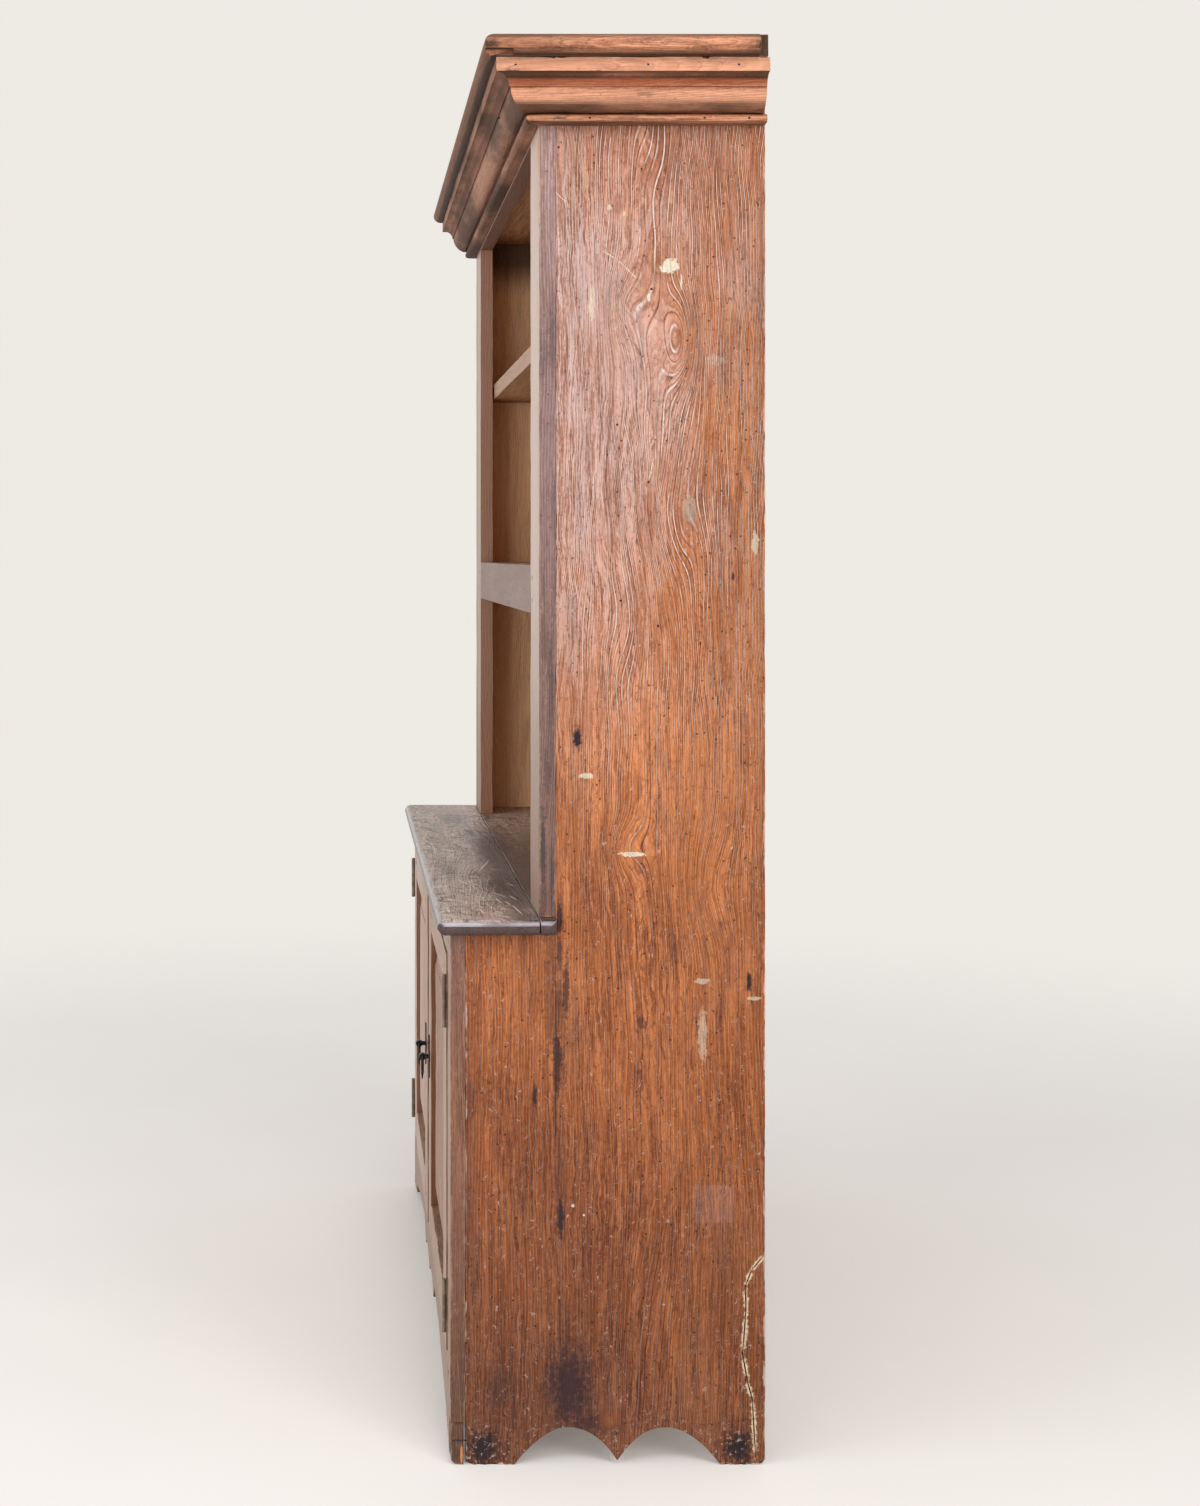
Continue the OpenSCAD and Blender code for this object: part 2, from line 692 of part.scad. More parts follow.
// The groove for the panel, cut round the sight opening
module panel_groove(side) {
    y = door_front(side) + groove_set;
    span([sight_left - groove_depth, y, sight_bottom - groove_depth],
         [sight_right + groove_depth, y + groove_width, sight_top + groove_depth]);
}

module door_pegs(side, play = 0) pegs(door_peg_places, door_front(side), play);

module door_hinge_stile(side) color([0.50, 0.38, 0.31]) on_side(side) difference() {
    span([sight_right, door_front(side), door_bottom],
         [door_hinge_x, door_front(side) + door_thick, door_top]);
    panel_groove(side);
    door_mortises(side, sight_right, 1);
    door_pegs(side, fit_play / 2);
}

module door_meeting_stile(side) color([0.50, 0.38, 0.31]) on_side(side) difference() {
    span([door_meet_x, door_front(side), door_bottom],
         [sight_left, door_front(side) + door_thick, door_top]);
    panel_groove(side);
    door_mortises(side, sight_left, -1);
    door_pegs(side, fit_play / 2);
    translate([pull_x, door_front(side) + door_thick + through, pull_height]) rotate([90, 0, 0])
        cylinder(r = shank_radius + fit_play / 2, h = door_thick + 2 * through);
}

module door_rail(side, low, high, tenon) color([0.48, 0.37, 0.30]) on_side(side) difference() {
    union() {
        span([sight_left, door_front(side), low], [sight_right, door_front(side) + door_thick, high]);
        door_tenon(side, sight_left, -1, tenon[0], tenon[1]);
        door_tenon(side, sight_right, 1, tenon[0], tenon[1]);
    }
    span([sight_left, door_front(side) + groove_set, sight_bottom - groove_depth],
         [sight_right, door_front(side) + groove_set + groove_width, sight_top + groove_depth]);
    door_pegs(side, fit_play / 2);
}

module door_panel(side) {
    panel_in = groove_depth - panel_play;
    back = door_front(side) + groove_set + groove_width - fit_play;
    tongue = door_front(side) + groove_set + fit_play;
    field = door_front(side) + field_set;
    // Half of the panel's cross-section, from one edge to the other, as distance and depth
    function section(low, high) = [
        [low - panel_in, back], [high + panel_in, back], [high + panel_in, tongue], [high, tongue],
        [high - bevel_width, field + field_step], [high - bevel_width, field],
        [low + bevel_width, field], [low + bevel_width, field + field_step],
        [low, tongue], [low - panel_in, tongue]];
    color([0.52, 0.41, 0.35]) on_side(side) intersection() {
        translate([0, 0, sight_bottom - panel_in]) linear_extrude(sight_top - sight_bottom + 2 * panel_in)
            polygon(section(sight_left, sight_right));
        slab_x(sight_left - panel_in, sight_right - sight_left + 2 * panel_in)
            polygon([for (p = section(sight_bottom, sight_top)) [p[1], p[0]]]);
    }
}

module door_peg_set(side) color([0.45, 0.32, 0.22]) on_side(side) door_pegs(side);

module door_stops() color([0.33, 0.23, 0.16]) for (side = [LEFT, RIGHT]) on_side(side)
    span([pull_x, door_front(side) + door_thick + end_play, door_top - stop_overlap],
         [pull_x + stop_width, door_front(side) + door_thick + end_play + stop_depth, counter_bottom]);

// Hinges, drawn for the right side

hinge_bottoms = [door_bottom + hinge_inset, door_top - hinge_inset - hinge_length];
// Each barrel has three knuckles: one on the door's leaf, between two on the frame's
knuckle = hinge_length / 3;
function hinge_y(side) = door_front(side) - hinge_barrel - end_play;

module barrel(side, low, high) translate([hinge_x, hinge_y(side), low]) difference() {
    cylinder(r = hinge_barrel, h = high - low);
    translate([0, 0, -through]) cylinder(r = hinge_pin + turn_play, h = high - low + 2 * through);
}

// A leaf from its barrel into the gap, clear of the other leaf's barrel and of the pin
module leaf(side, x, low, high) difference() {
    span([x, hinge_y(side), low], [x + leaf_thick, door_front(side) + leaf_depth, high]);
    translate([hinge_x, hinge_y(side), low - through])
        cylinder(r = hinge_pin + turn_play, h = high - low + 2 * through);
}

module hinge_frame_leaves(side) color([0.16, 0.15, 0.14]) on_side(side) for (z = hinge_bottoms) {
    for (low = [z, z + 2 * knuckle]) {
        barrel(side, low, low + knuckle - (low > z ? 0 : end_play));
        leaf(side, lower_open_half - leaf_thick, low, low + knuckle - (low > z ? 0 : end_play));
    }
    span([lower_open_half - leaf_thick, lower_front + end_play, z],
         [lower_open_half, door_front(side) + leaf_depth, z + hinge_length]);
}

module hinge_door_leaves(side) color([0.16, 0.15, 0.14]) on_side(side) for (z = hinge_bottoms) {
    barrel(side, z + knuckle, z + 2 * knuckle - end_play);
    leaf(side, door_hinge_x, z + knuckle, z + 2 * knuckle - end_play);
    span([door_hinge_x, door_front(side) + end_play, z],
         [door_hinge_x + leaf_thick, door_front(side) + leaf_depth, z + hinge_length]);
}

module hinge_pins(side) color([0.20, 0.18, 0.17]) on_side(side) for (z = hinge_bottoms)
    translate([hinge_x, hinge_y(side), z]) cylinder(r = hinge_pin, h = hinge_length);

// Pulls, drawn for the right side

module at_pull(side) on_side(side) translate([pull_x, door_front(side), pull_height]) children();

// The upper point of the back plate, from its right side to its left
neck_height = pull_barb_height - pull_barb;
plate_point = [[pull_neck, 0], [pull_neck, neck_height], [pull_barb, pull_barb_height],
    [0, pull_plate_length / 2], [-pull_barb, pull_barb_height], [-pull_neck, neck_height]];

module pull_plate(side) color([0.09, 0.09, 0.09]) at_pull(side) slab_y(-pull_plate_thick, pull_plate_thick)
    difference() {
        union() {
            circle(pull_plate_round);
            polygon(concat(plate_point, [for (p = plate_point) -p]));
        }
        circle(shank_radius + fit_play / 2);
    }

module pull_eye_piece(side) color([0.09, 0.09, 0.09]) at_pull(side) difference() {
    union() {
        translate([-pull_eye_width / 2, -pull_reach, 0]) rotate([0, 90, 0])
            cylinder(r = pull_eye, h = pull_eye_width);
        translate([0, -pull_plate_thick, 0]) rotate([90, 0, 0])
            cylinder(r = pull_stem, h = pull_reach - pull_plate_thick);
        translate([0, door_thick + pull_plate_thick, 0]) rotate([90, 0, 0])
            cylinder(r = shank_radius, h = door_thick + 2 * pull_plate_thick + through);
        translate([0, door_thick + pull_plate_thick, 0]) rotate([90, 0, 0])
            cylinder(r = shank_washer, h = pull_plate_thick);
    }
    translate([-pull_eye_width / 2 - through, -pull_reach, 0]) rotate([0, 90, 0])
        cylinder(r = pull_pin + turn_play, h = pull_eye_width + 2 * through);
}

module pull_bail(side) color([0.11, 0.11, 0.11]) at_pull(side) translate([0, -pull_reach, 0]) {
    translate([-pull_half, 0, 0]) rotate([0, 90, 0]) cylinder(r = pull_pin, h = 2 * pull_half);
    for (end = [-1, 1]) translate([end * pull_half, 0, 0]) {
        sphere(pull_bar);
        translate([0, 0, pull_half - pull_length]) cylinder(r = pull_bar, h = pull_length - pull_half);
    }
    translate([0, 0, pull_half - pull_length]) rotate([90, 0, 0]) rotate([0, 0, 180])
        rotate_extrude(angle = 180) translate([pull_half, 0]) circle(pull_bar);
    translate([0, 0, -pull_length - pull_point])
        cylinder(r1 = pull_point_tip, r2 = pull_point_top, h = pull_point);
}

side_board(LEFT);  // side_left
side_board(RIGHT);  // side_right
for (i = [0:back_count - 1]) back_board(i);
bottom_board();
inner_shelf();
counter_front_board();
counter_back_board();
middle_shelf();
upper_shelf();
ceiling_board();
top_board();
rear_batten();
crown_front();
crown_side(LEFT);  // crown_left
crown_side(RIGHT);  // crown_right
bead_front();
bead_side(LEFT);  // bead_left
bead_side(RIGHT);  // bead_right
upper_stile_board(LEFT);  // upper_stile_left
upper_stile_board(RIGHT);  // upper_stile_right
head_rail();
mid_rail();
lower_stile_board(LEFT);  // lower_stile_left
lower_stile_board(RIGHT);  // lower_stile_right
foot_block_right();
lower_rail_board();  // lower_rail
apron();
door_stops();
frame_pegs();
hinge_frame_leaves(LEFT);  // hinge_frame_leaves_left
hinge_frame_leaves(RIGHT);  // hinge_frame_leaves_right
hinge_pins(LEFT);  // hinge_pins_left
hinge_pins(RIGHT);  // hinge_pins_right
door_hinge_stile(LEFT);  // door_left_hinge_stile
door_meeting_stile(LEFT);  // door_left_meeting_stile
door_rail(LEFT, sight_top, door_top, top_tenon);  // door_left_top_rail
door_rail(LEFT, door_bottom, sight_bottom, bottom_tenon);  // door_left_bottom_rail
door_panel(LEFT);  // door_left_panel
door_peg_set(LEFT);  // door_left_pegs
hinge_door_leaves(LEFT);  // hinge_door_leaves_left
pull_plate(LEFT);  // pull_plate_left
pull_eye_piece(LEFT);  // pull_eye_left
pull_bail(LEFT);  // pull_left
door_hinge_stile(RIGHT);  // door_right_hinge_stile
door_meeting_stile(RIGHT);  // door_right_meeting_stile
door_rail(RIGHT, sight_top, door_top, top_tenon);  // door_right_top_rail
door_rail(RIGHT, door_bottom, sight_bottom, bottom_tenon);  // door_right_bottom_rail
door_panel(RIGHT);  // door_right_panel
door_peg_set(RIGHT);  // door_right_pegs
hinge_door_leaves(RIGHT);  // hinge_door_leaves_right
pull_plate(RIGHT);  // pull_plate_right
pull_eye_piece(RIGHT);  // pull_eye_right
pull_bail(RIGHT);  // pull_right
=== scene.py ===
"""The looks of a step-back cupboard in old softwood: finishes, worn edges, marks, iron, light and camera.

Lengths are in metres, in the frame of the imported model: X to the right of the front, Y to the back, Z up.
Lists of marks are in millimetres, as a rule would measure them on the board.
"""
import json
import math
import random

import bmesh
import bpy
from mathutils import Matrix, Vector, noise


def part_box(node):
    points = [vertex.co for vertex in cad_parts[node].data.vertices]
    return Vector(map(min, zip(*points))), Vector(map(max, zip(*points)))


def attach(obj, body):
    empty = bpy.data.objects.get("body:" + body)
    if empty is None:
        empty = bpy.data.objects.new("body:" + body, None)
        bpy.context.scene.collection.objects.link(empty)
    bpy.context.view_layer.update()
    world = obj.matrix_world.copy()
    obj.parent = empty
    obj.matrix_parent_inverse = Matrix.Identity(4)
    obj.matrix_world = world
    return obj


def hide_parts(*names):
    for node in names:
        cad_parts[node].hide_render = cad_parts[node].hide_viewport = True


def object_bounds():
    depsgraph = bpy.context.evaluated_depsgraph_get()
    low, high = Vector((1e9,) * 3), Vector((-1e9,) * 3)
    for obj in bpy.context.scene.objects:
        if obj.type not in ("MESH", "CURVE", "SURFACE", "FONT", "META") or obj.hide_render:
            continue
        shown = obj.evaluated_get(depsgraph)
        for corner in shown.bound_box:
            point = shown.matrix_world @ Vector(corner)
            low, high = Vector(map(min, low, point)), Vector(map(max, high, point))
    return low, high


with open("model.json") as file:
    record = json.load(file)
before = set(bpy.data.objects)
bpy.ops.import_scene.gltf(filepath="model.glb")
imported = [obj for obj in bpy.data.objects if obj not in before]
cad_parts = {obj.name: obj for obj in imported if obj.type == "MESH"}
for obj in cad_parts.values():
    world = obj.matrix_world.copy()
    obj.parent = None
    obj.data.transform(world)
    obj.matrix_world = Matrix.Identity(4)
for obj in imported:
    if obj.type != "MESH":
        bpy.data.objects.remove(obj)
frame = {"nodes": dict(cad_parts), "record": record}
cad_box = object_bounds()
NODES = frame["nodes"]
BODY_OF = {node: body for body, nodes in frame["record"]["behaviour"]["bodies"].items() for node in nodes}
SLOT_OF = {part["node"]: part["material_slot"] for part in frame["record"]["subparts"]}
SIDE_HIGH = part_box("side_right")[1]
TOTAL_HEIGHT = cad_box[1][2]
MM = 0.001


def add_object(name, data):
    """An object of the scene."""
    made = bpy.data.objects.new(name, data)
    bpy.context.scene.collection.objects.link(made)
    return made


def mesh_of(built, name):
    """The mesh of a bmesh, which ends here."""
    mesh = bpy.data.meshes.new(name)
    built.to_mesh(mesh)
    built.free()
    return mesh


def smooth_piece(built, name, material):
    """A bmesh as a smoothly shaded object with one material."""
    mesh = mesh_of(built, name)
    for face in mesh.polygons:
        face.use_smooth = True
    mesh.materials.append(material)
    return add_object(name, mesh)


# Node graphs, written as formulas

class Wire:
    """A socket's value. Arithmetic with it adds Math nodes to its graph."""

    def __init__(self, graph, socket):
        self.graph = graph
        self.socket = socket

    def __add__(self, other):
        return self.graph.math("ADD", self, other)

    def __sub__(self, other):
        return self.graph.math("SUBTRACT", self, other)

    def __rsub__(self, other):
        return self.graph.math("SUBTRACT", other, self)

    def __mul__(self, other):
        return self.graph.math("MULTIPLY", self, other)

    def __truediv__(self, other):
        return self.graph.math("DIVIDE", self, other)

    __radd__ = __add__
    __rmul__ = __mul__


class Graph:
    """Adds shader nodes to a tree. Inputs are numbers, tuples or Wires, and results are Wires."""

    def __init__(self, tree):
        self.tree = tree

    def give(self, made, values):
        """Sets the inputs of a node, or links Wires to them."""
        for key, value in values.items():
            if isinstance(value, Wire):
                self.tree.links.new(value.socket, made.inputs[key])
            else:
                made.inputs[key].default_value = value

    def node(self, kind, inputs, out=0, **settings):
        made = self.tree.nodes.new("ShaderNode" + kind)
        for name, value in settings.items():
            setattr(made, name, value)
        self.give(made, inputs)
        return Wire(self, made.outputs[out])

    def math(self, operation, a, b=0.0):
        return self.node("Math", {0: a, 1: b}, operation=operation)

    def size(self, a):
        return self.math("ABSOLUTE", a)

    def low(self, a, b):
        return self.math("MINIMUM", a, b)

    def high(self, a, b):
        return self.math("MAXIMUM", a, b)

    def step(self, value, start, end, low=0.0, high=1.0):
        """Turns smoothly from low at start to high at end."""
        return self.node("MapRange", {"Value": value, "From Min": start, "From Max": end,
                                      "To Min": low, "To Max": high}, interpolation_type="SMOOTHSTEP")

    def vectors(self, operation, *values, out=0):
        """Arithmetic with whole vectors. A number comes from the output 1."""
        return self.node("VectorMath", dict(enumerate(values)), out=out, operation=operation)

    def vector(self, x, y, z=0.0):
        return self.node("CombineXYZ", {0: x, 1: y, 2: z})

    def split(self, vector):
        made = self.tree.nodes.new("ShaderNodeSeparateXYZ")
        self.give(made, {0: vector})
        return [Wire(self, socket) for socket in made.outputs]

    def coordinates(self, out=3):
        """The object's own coordinates, or its normals where out is 1."""
        return self.node("TexCoord", {}, out=out)

    def stretch(self, vector, scale, shift=(0.0, 0.0, 0.0)):
        return self.node("Mapping", {"Vector": vector, "Location": shift, "Scale": scale})

    def noise(self, vector, scale=1.0, detail=2.0, roughness=0.5, distortion=0.0):
        return self.node("TexNoise", {"Vector": vector, "Scale": scale, "Detail": detail,
                                      "Roughness": roughness, "Distortion": distortion})

    def mix(self, factor, a, b, blend="MIX"):
        return self.node("Mix", {0: factor, 6: a, 7: b}, out=2, data_type="RGBA", blend_type=blend)

    def shaded(self, colour, shade):
        """The colour times a number."""
        grey = self.node("CombineColor", {0: shade, 1: shade, 2: shade})
        return self.mix(1.0, colour, grey, "MULTIPLY")

    def ramp(self, value, stops):
        """A colour for each value, from (place, colour) pairs in order."""
        made = self.tree.nodes.new("ShaderNodeValToRGB")
        self.give(made, {0: value})
        elements = made.color_ramp.elements
        while len(elements) < len(stops):
            elements.new(1.0)
        for element, (place, colour) in zip(elements, stops):
            element.position = place
            element.color = colour
        return Wire(self, made.outputs[0])

    def distance(self, plane, middle, size, turn=0.0):
        """How far a point is from an ellipse's middle, where 1 is on the ellipse."""
        offset = self.vectors("SUBTRACT", plane, (*middle, 0.0))
        if not turn:
            scaled = self.vectors("MULTIPLY", offset, (1 / size[0], 1 / size[1], 0.0))
            return self.vectors("LENGTH", scaled, out=1)
        ways = [(math.cos(turn) / size[0], math.sin(turn) / size[0], 0.0),
                (-math.sin(turn) / size[1], math.cos(turn) / size[1], 0.0)]
        u, v = [self.vectors("DOT_PRODUCT", offset, way, out=1) for way in ways]
        return self.math("SQRT", u * u + v * v)


def tone(red, green, blue):
    """A colour as seen on screen, from 0 to 255, turned into a shader's linear one."""
    shares = (red / 255, green / 255, blue / 255)
    return (*[c / 12.92 if c <= 0.04045 else ((c + 0.055) / 1.055) ** 2.4 for c in shares], 1.0)


def material_with(name):
    """A new material, its graph and its shader."""
    material = bpy.data.materials.new(name)
    material.use_nodes = True
    return material, Graph(material.node_tree), material.node_tree.nodes["Principled BSDF"]


# The wood itself: rings, fibres, stains, scratches and worn edges

WOOD_INPUTS = {"Vector": "Place Seed Pith Low High", "Color": "Ground Late Stain Pale",
               "Float": "Warp Pitch Waves Lines Crests Stained Worn Marks Contrast"}
WOOD_OUTPUTS = {"Colour": "Color", "Roughness": "Float", "Height": "Float", "Cloud": "Float", "Tone": "Float"}
COAT_ROUGHNESS = 0.2
BUMP_DEPTH = 0.001
WHITE = tone(255, 255, 255)
SHADE_TINT = (0.50, 0.41, 0.38, 1.0)
LIGHT_TINT = (1.44, 1.60, 1.68, 1.0)
DARK_PORE = tone(46, 28, 22)


def make_wood_group():
    """Old wood in grain space, where X runs across the board, Y through it and Z along the grain."""
    tree = bpy.data.node_groups.new("old_wood", "ShaderNodeTree")
    for kind, names in WOOD_INPUTS.items():
        for name in names.split():
            tree.interface.new_socket(name, in_out="INPUT", socket_type="NodeSocket" + kind)
    for name, kind in WOOD_OUTPUTS.items():
        tree.interface.new_socket(name, in_out="OUTPUT", socket_type="NodeSocket" + kind)
    g = Graph(tree)
    start = tree.nodes.new("NodeGroupInput")
    given = {socket.name: Wire(g, socket) for socket in start.outputs if socket.name}
    place = given["Place"]
    seeded = g.vectors("ADD", place, given["Seed"])

    def grained(across, along, shift=(0.0, 0.0, 0.0), vector=seeded, detail=1.0, **settings):
        """Noise with one scale across the grain and another along it."""
        return g.noise(g.stretch(vector, (across, across, along), shift), detail=detail, **settings)

    # Rings round the tree's middle. The middle wanders along the board, so the rings show as long arches.
    slow = grained(4.0, 1.3)
    quick = grained(13.0, 5.0)
    wander = grained(0.5, 1.6, (4.0, 4.0, 4.0))
    across, depth, along = g.split(place)
    pith_across, pith_depth, _ = g.split(given["Pith"])
    bent = across - pith_across + (slow - 0.5) * 0.05 + given["Warp"]
    deep = depth - pith_depth + (wander - 0.5) * 0.09
    wave = (quick - 0.5) * given["Waves"]
    radius = g.math("SQRT", bent * bent + deep * deep) + wave
    ring = radius / given["Pitch"]
    phase = g.math("FRACT", ring, 0.0)
    year = g.noise(g.vector(g.math("FLOOR", ring), 3.7, 1.3), scale=1.7, detail=0.0)
    strength = g.step(year, 0.25, 0.65, 0.35, 1.0)
    late = g.step(phase, 0.30, 0.80) * g.step(phase, 1.0, 0.90) * strength
    crest = g.step(phase, 0.66, 0.80) * g.step(phase, 0.96, 0.86) * strength
    crest = crest * g.step(g.size(bent), 0.004, 0.030)
    groove = g.step(phase, 0.16, 0.03) * strength

    # Fibres, streaks and long drying cracks along the grain, and clouds of colour
    wobble = grained(70.0, 34.0, (6.0, 6.0, 1.0))
    flow = g.vector(bent + wave + (wobble - 0.5) * 0.007, depth, along)
    fibre = grained(560.0, 18.0, vector=flow, detail=2.0, roughness=0.6)
    streak = grained(250.0, 8.0, vector=flow, detail=3.0, roughness=0.65)
    cloud = grained(9.0, 3.0, detail=4.0, roughness=0.6)
    blotch = grained(42.0, 8.0, (3.0, 1.0, 7.0), detail=4.0, roughness=0.7)
    speck = grained(300.0, 130.0, (7.0, 3.0, 1.0), detail=3.0, roughness=0.7)

    tonal = g.step(fibre, 0.34, 0.66) * 0.26 + g.step(streak, 0.32, 0.68) * 0.32
    tonal = tonal + g.step(cloud, 0.32, 0.68) * 0.26 + g.step(speck, 0.34, 0.66) * 0.16
    tonal = (g.step(tonal, 0.14, 0.86) - 0.5) * g.step(blotch, 0.35, 0.62, 0.5, 1.3) + 0.5
    tint = g.mix(tonal, SHADE_TINT, LIGHT_TINT)
    colour = g.mix(given["Contrast"], given["Ground"], g.mix(1.0, given["Ground"], tint, "MULTIPLY"))
    dark_lines = g.mix(given["Lines"], WHITE, given["Late"])
    colour = g.mix(g.high(late * 0.6, groove), colour, g.mix(1.0, colour, dark_lines, "MULTIPLY"))
    # Pale crests along the ring ridges: painted highlights.
    colour = g.mix(crest * g.step(blotch, 0.36, 0.56) * given["Crests"], colour, given["Pale"])
    stained = g.step(blotch + (cloud - 0.5) * 0.6, 0.54, 0.76) * given["Stained"]
    colour = g.mix(stained, colour, given["Stain"])
    check = g.step(streak, 0.66, 0.74)

    # Small curly scratches, dark nicks, open pores and worm holes
    curl = grained(130.0, 80.0, distortion=0.8)
    kept = grained(85.0, 85.0, (5.0, 2.0, 9.0), detail=0.0)
    line = g.step(g.size(curl - 0.5), 0.018, 0.004)
    scratch = line * g.step(kept, 0.51, 0.59) * given["Marks"]
    nick = line * g.step(kept, 0.46, 0.39) * given["Marks"]
    colour = g.mix(scratch * 0.8, colour, g.mix(0.4, given["Ground"], given["Pale"]))
    pore = grained(380.0, 60.0, (1.0, 8.0, 2.0))
    pore = g.step(pore, 0.70, 0.78) * given["Marks"]
    cell = g.node("TexVoronoi", {"Vector": seeded, "Scale": 62.0}, out=0)
    hole = g.step(cell, 0.100, 0.075) * given["Marks"]
    dark = g.high(g.high(pore * 0.5, nick * 0.5), g.high(hole, check * 0.5))
    colour = g.mix(dark * 0.8, colour, DARK_PORE)

    # How far a point is from the board's nearest edge: the middle one of its distances to the board's planes
    low, high = given["Low"], given["High"]
    sides = g.vectors("MINIMUM", g.vectors("SUBTRACT", place, low), g.vectors("SUBTRACT", high, place))
    a, b, c = g.split(sides)
    edge = g.high(g.low(a, b), g.low(g.high(a, b), c))
    rub = grained(60.0, 22.0, (2.0, 2.0, 2.0), detail=3.0, roughness=0.7)
    worn = g.step(edge - (rub - 0.5) * 0.014, 0.0022, 0.0) * given["Worn"]
    colour = g.mix(worn * g.step(rub, 0.35, 0.6) * 0.8, colour, given["Pale"])
    grime = g.step(edge, 0.020, 0.0) * g.step(cloud, 0.42, 0.62) * given["Worn"]
    colour = g.mix(grime * 0.4, colour, given["Stain"])

    rough = 0.50 + (cloud - 0.5) * 0.30 + (fibre - 0.5) * 0.22 + worn * 0.12 + scratch * 0.1 + dark * 0.2
    height = (late * 0.8 * given["Lines"] + crest * 0.5 * given["Crests"] - groove * 0.5 * given["Lines"]
              + fibre * 0.3 + streak * 0.7 + speck * 0.3 - scratch * 0.6 - dark * 1.2)
    finish = tree.nodes.new("NodeGroupOutput")
    g.give(finish, dict(zip(WOOD_OUTPUTS, (colour, rough, height, cloud, tonal))))
    return tree


WOOD_GROUP = make_wood_group()

# The axes that run across each board, through it and along its grain
SIDES = ("left", "right")
GRAIN = {
    "yxz": ["side_left", "side_right"],
    "xyz": ["foot_block_right"] + [f"back_board_{i}" for i in range(1, 6)]
           + [f"{place}_stile_{side}" for place in ("upper", "lower") for side in SIDES]
           + [f"door_{side}_{part}" for side in SIDES for part in ("hinge_stile", "meeting_stile", "panel")],
    "zyx": ["head_rail", "mid_rail", "lower_rail", "apron", "crown_front", "bead_front", "rear_batten",
            "door_stops"] + [f"door_{side}_{part}_rail" for side in SIDES for part in ("top", "bottom")],
    "yzx": ["bottom_board", "inner_shelf", "counter_front_board", "counter_back_board", "middle_shelf",
            "upper_shelf", "ceiling_board", "top_board"],
    "zxy": [f"{part}_{side}" for part in ("crown", "bead") for side in SIDES],
    "xzy": ["frame_pegs", "door_left_pegs", "door_right_pegs"],
}
AXES_OF = {node: axes for axes, nodes in GRAIN.items() for node in nodes}


class Finish:
    """A kind of wood surface: its colours from the floor up, its stains and how much of each wear it has.
    Several colours up a board are lighter higher up, partly as painted light from above.
    """

    def __init__(self, grounds, stain, pale, late=(172, 148, 136), specular=0.4, bump=0.55, coat=0.0,
                 **amounts):
        self.grounds = [tone(*ground) for ground in grounds]
        self.colours = {"Stain": tone(*stain), "Pale": tone(*pale), "Late": tone(*late)}
        self.specular, self.bump, self.coat = specular, bump, coat
        self.amounts = {"Lines": 0.9, "Crests": 0.2, "Stained": 0.45, "Worn": 0.8, "Marks": 0.7,
                        "Waves": 0.006, "Contrast": 0.8, **amounts}


FINISHES = {
    "side_wood": Finish([(126, 74, 48), (168, 96, 54), (198, 120, 72), (188, 117, 76), (186, 120, 88)],
                        (84, 52, 46), (236, 212, 200), late=(146, 112, 98), Crests=0.9, Marks=1.0,
                        specular=0.22, bump=1.0),
    "frame_wood": Finish([(102, 64, 42), (138, 86, 60), (120, 86, 76), (142, 108, 104), (182, 146, 140)],
                         (84, 62, 62), (206, 164, 132), Worn=0.35, specular=0.6),
    "counter_wood": Finish([(222, 192, 176)], (52, 38, 36), (228, 216, 206), Lines=0.6, Stained=0.95,
                           Contrast=1.3, Waves=0.010, Marks=1.8, specular=0.4, bump=0.9, coat=0.1),
    "cornice_wood": Finish([(212, 142, 106)], (74, 48, 42), (238, 196, 160), Lines=0.7, Contrast=0.9,
                           Worn=1.0, specular=0.25),
    "inner_wood": Finish([(196, 146, 106)], (100, 68, 50), (214, 176, 140), Worn=0.4, specular=0.2),
    "back_wood": Finish([(176, 126, 90)], (90, 62, 48), (190, 150, 116), Worn=0.3, specular=0.2),
    "door_wood": Finish([(160, 122, 96)], (78, 58, 48), (206, 178, 150), Stained=0.6, Contrast=1.1,
                        specular=0.5),
    "panel_wood": Finish([(178, 140, 118)], (84, 64, 56), (204, 182, 168), Stained=0.6, Contrast=1.1,
                         specular=0.5),
    "peg_wood": Finish([(124, 92, 70)], (66, 50, 44), (170, 140, 114)),
}


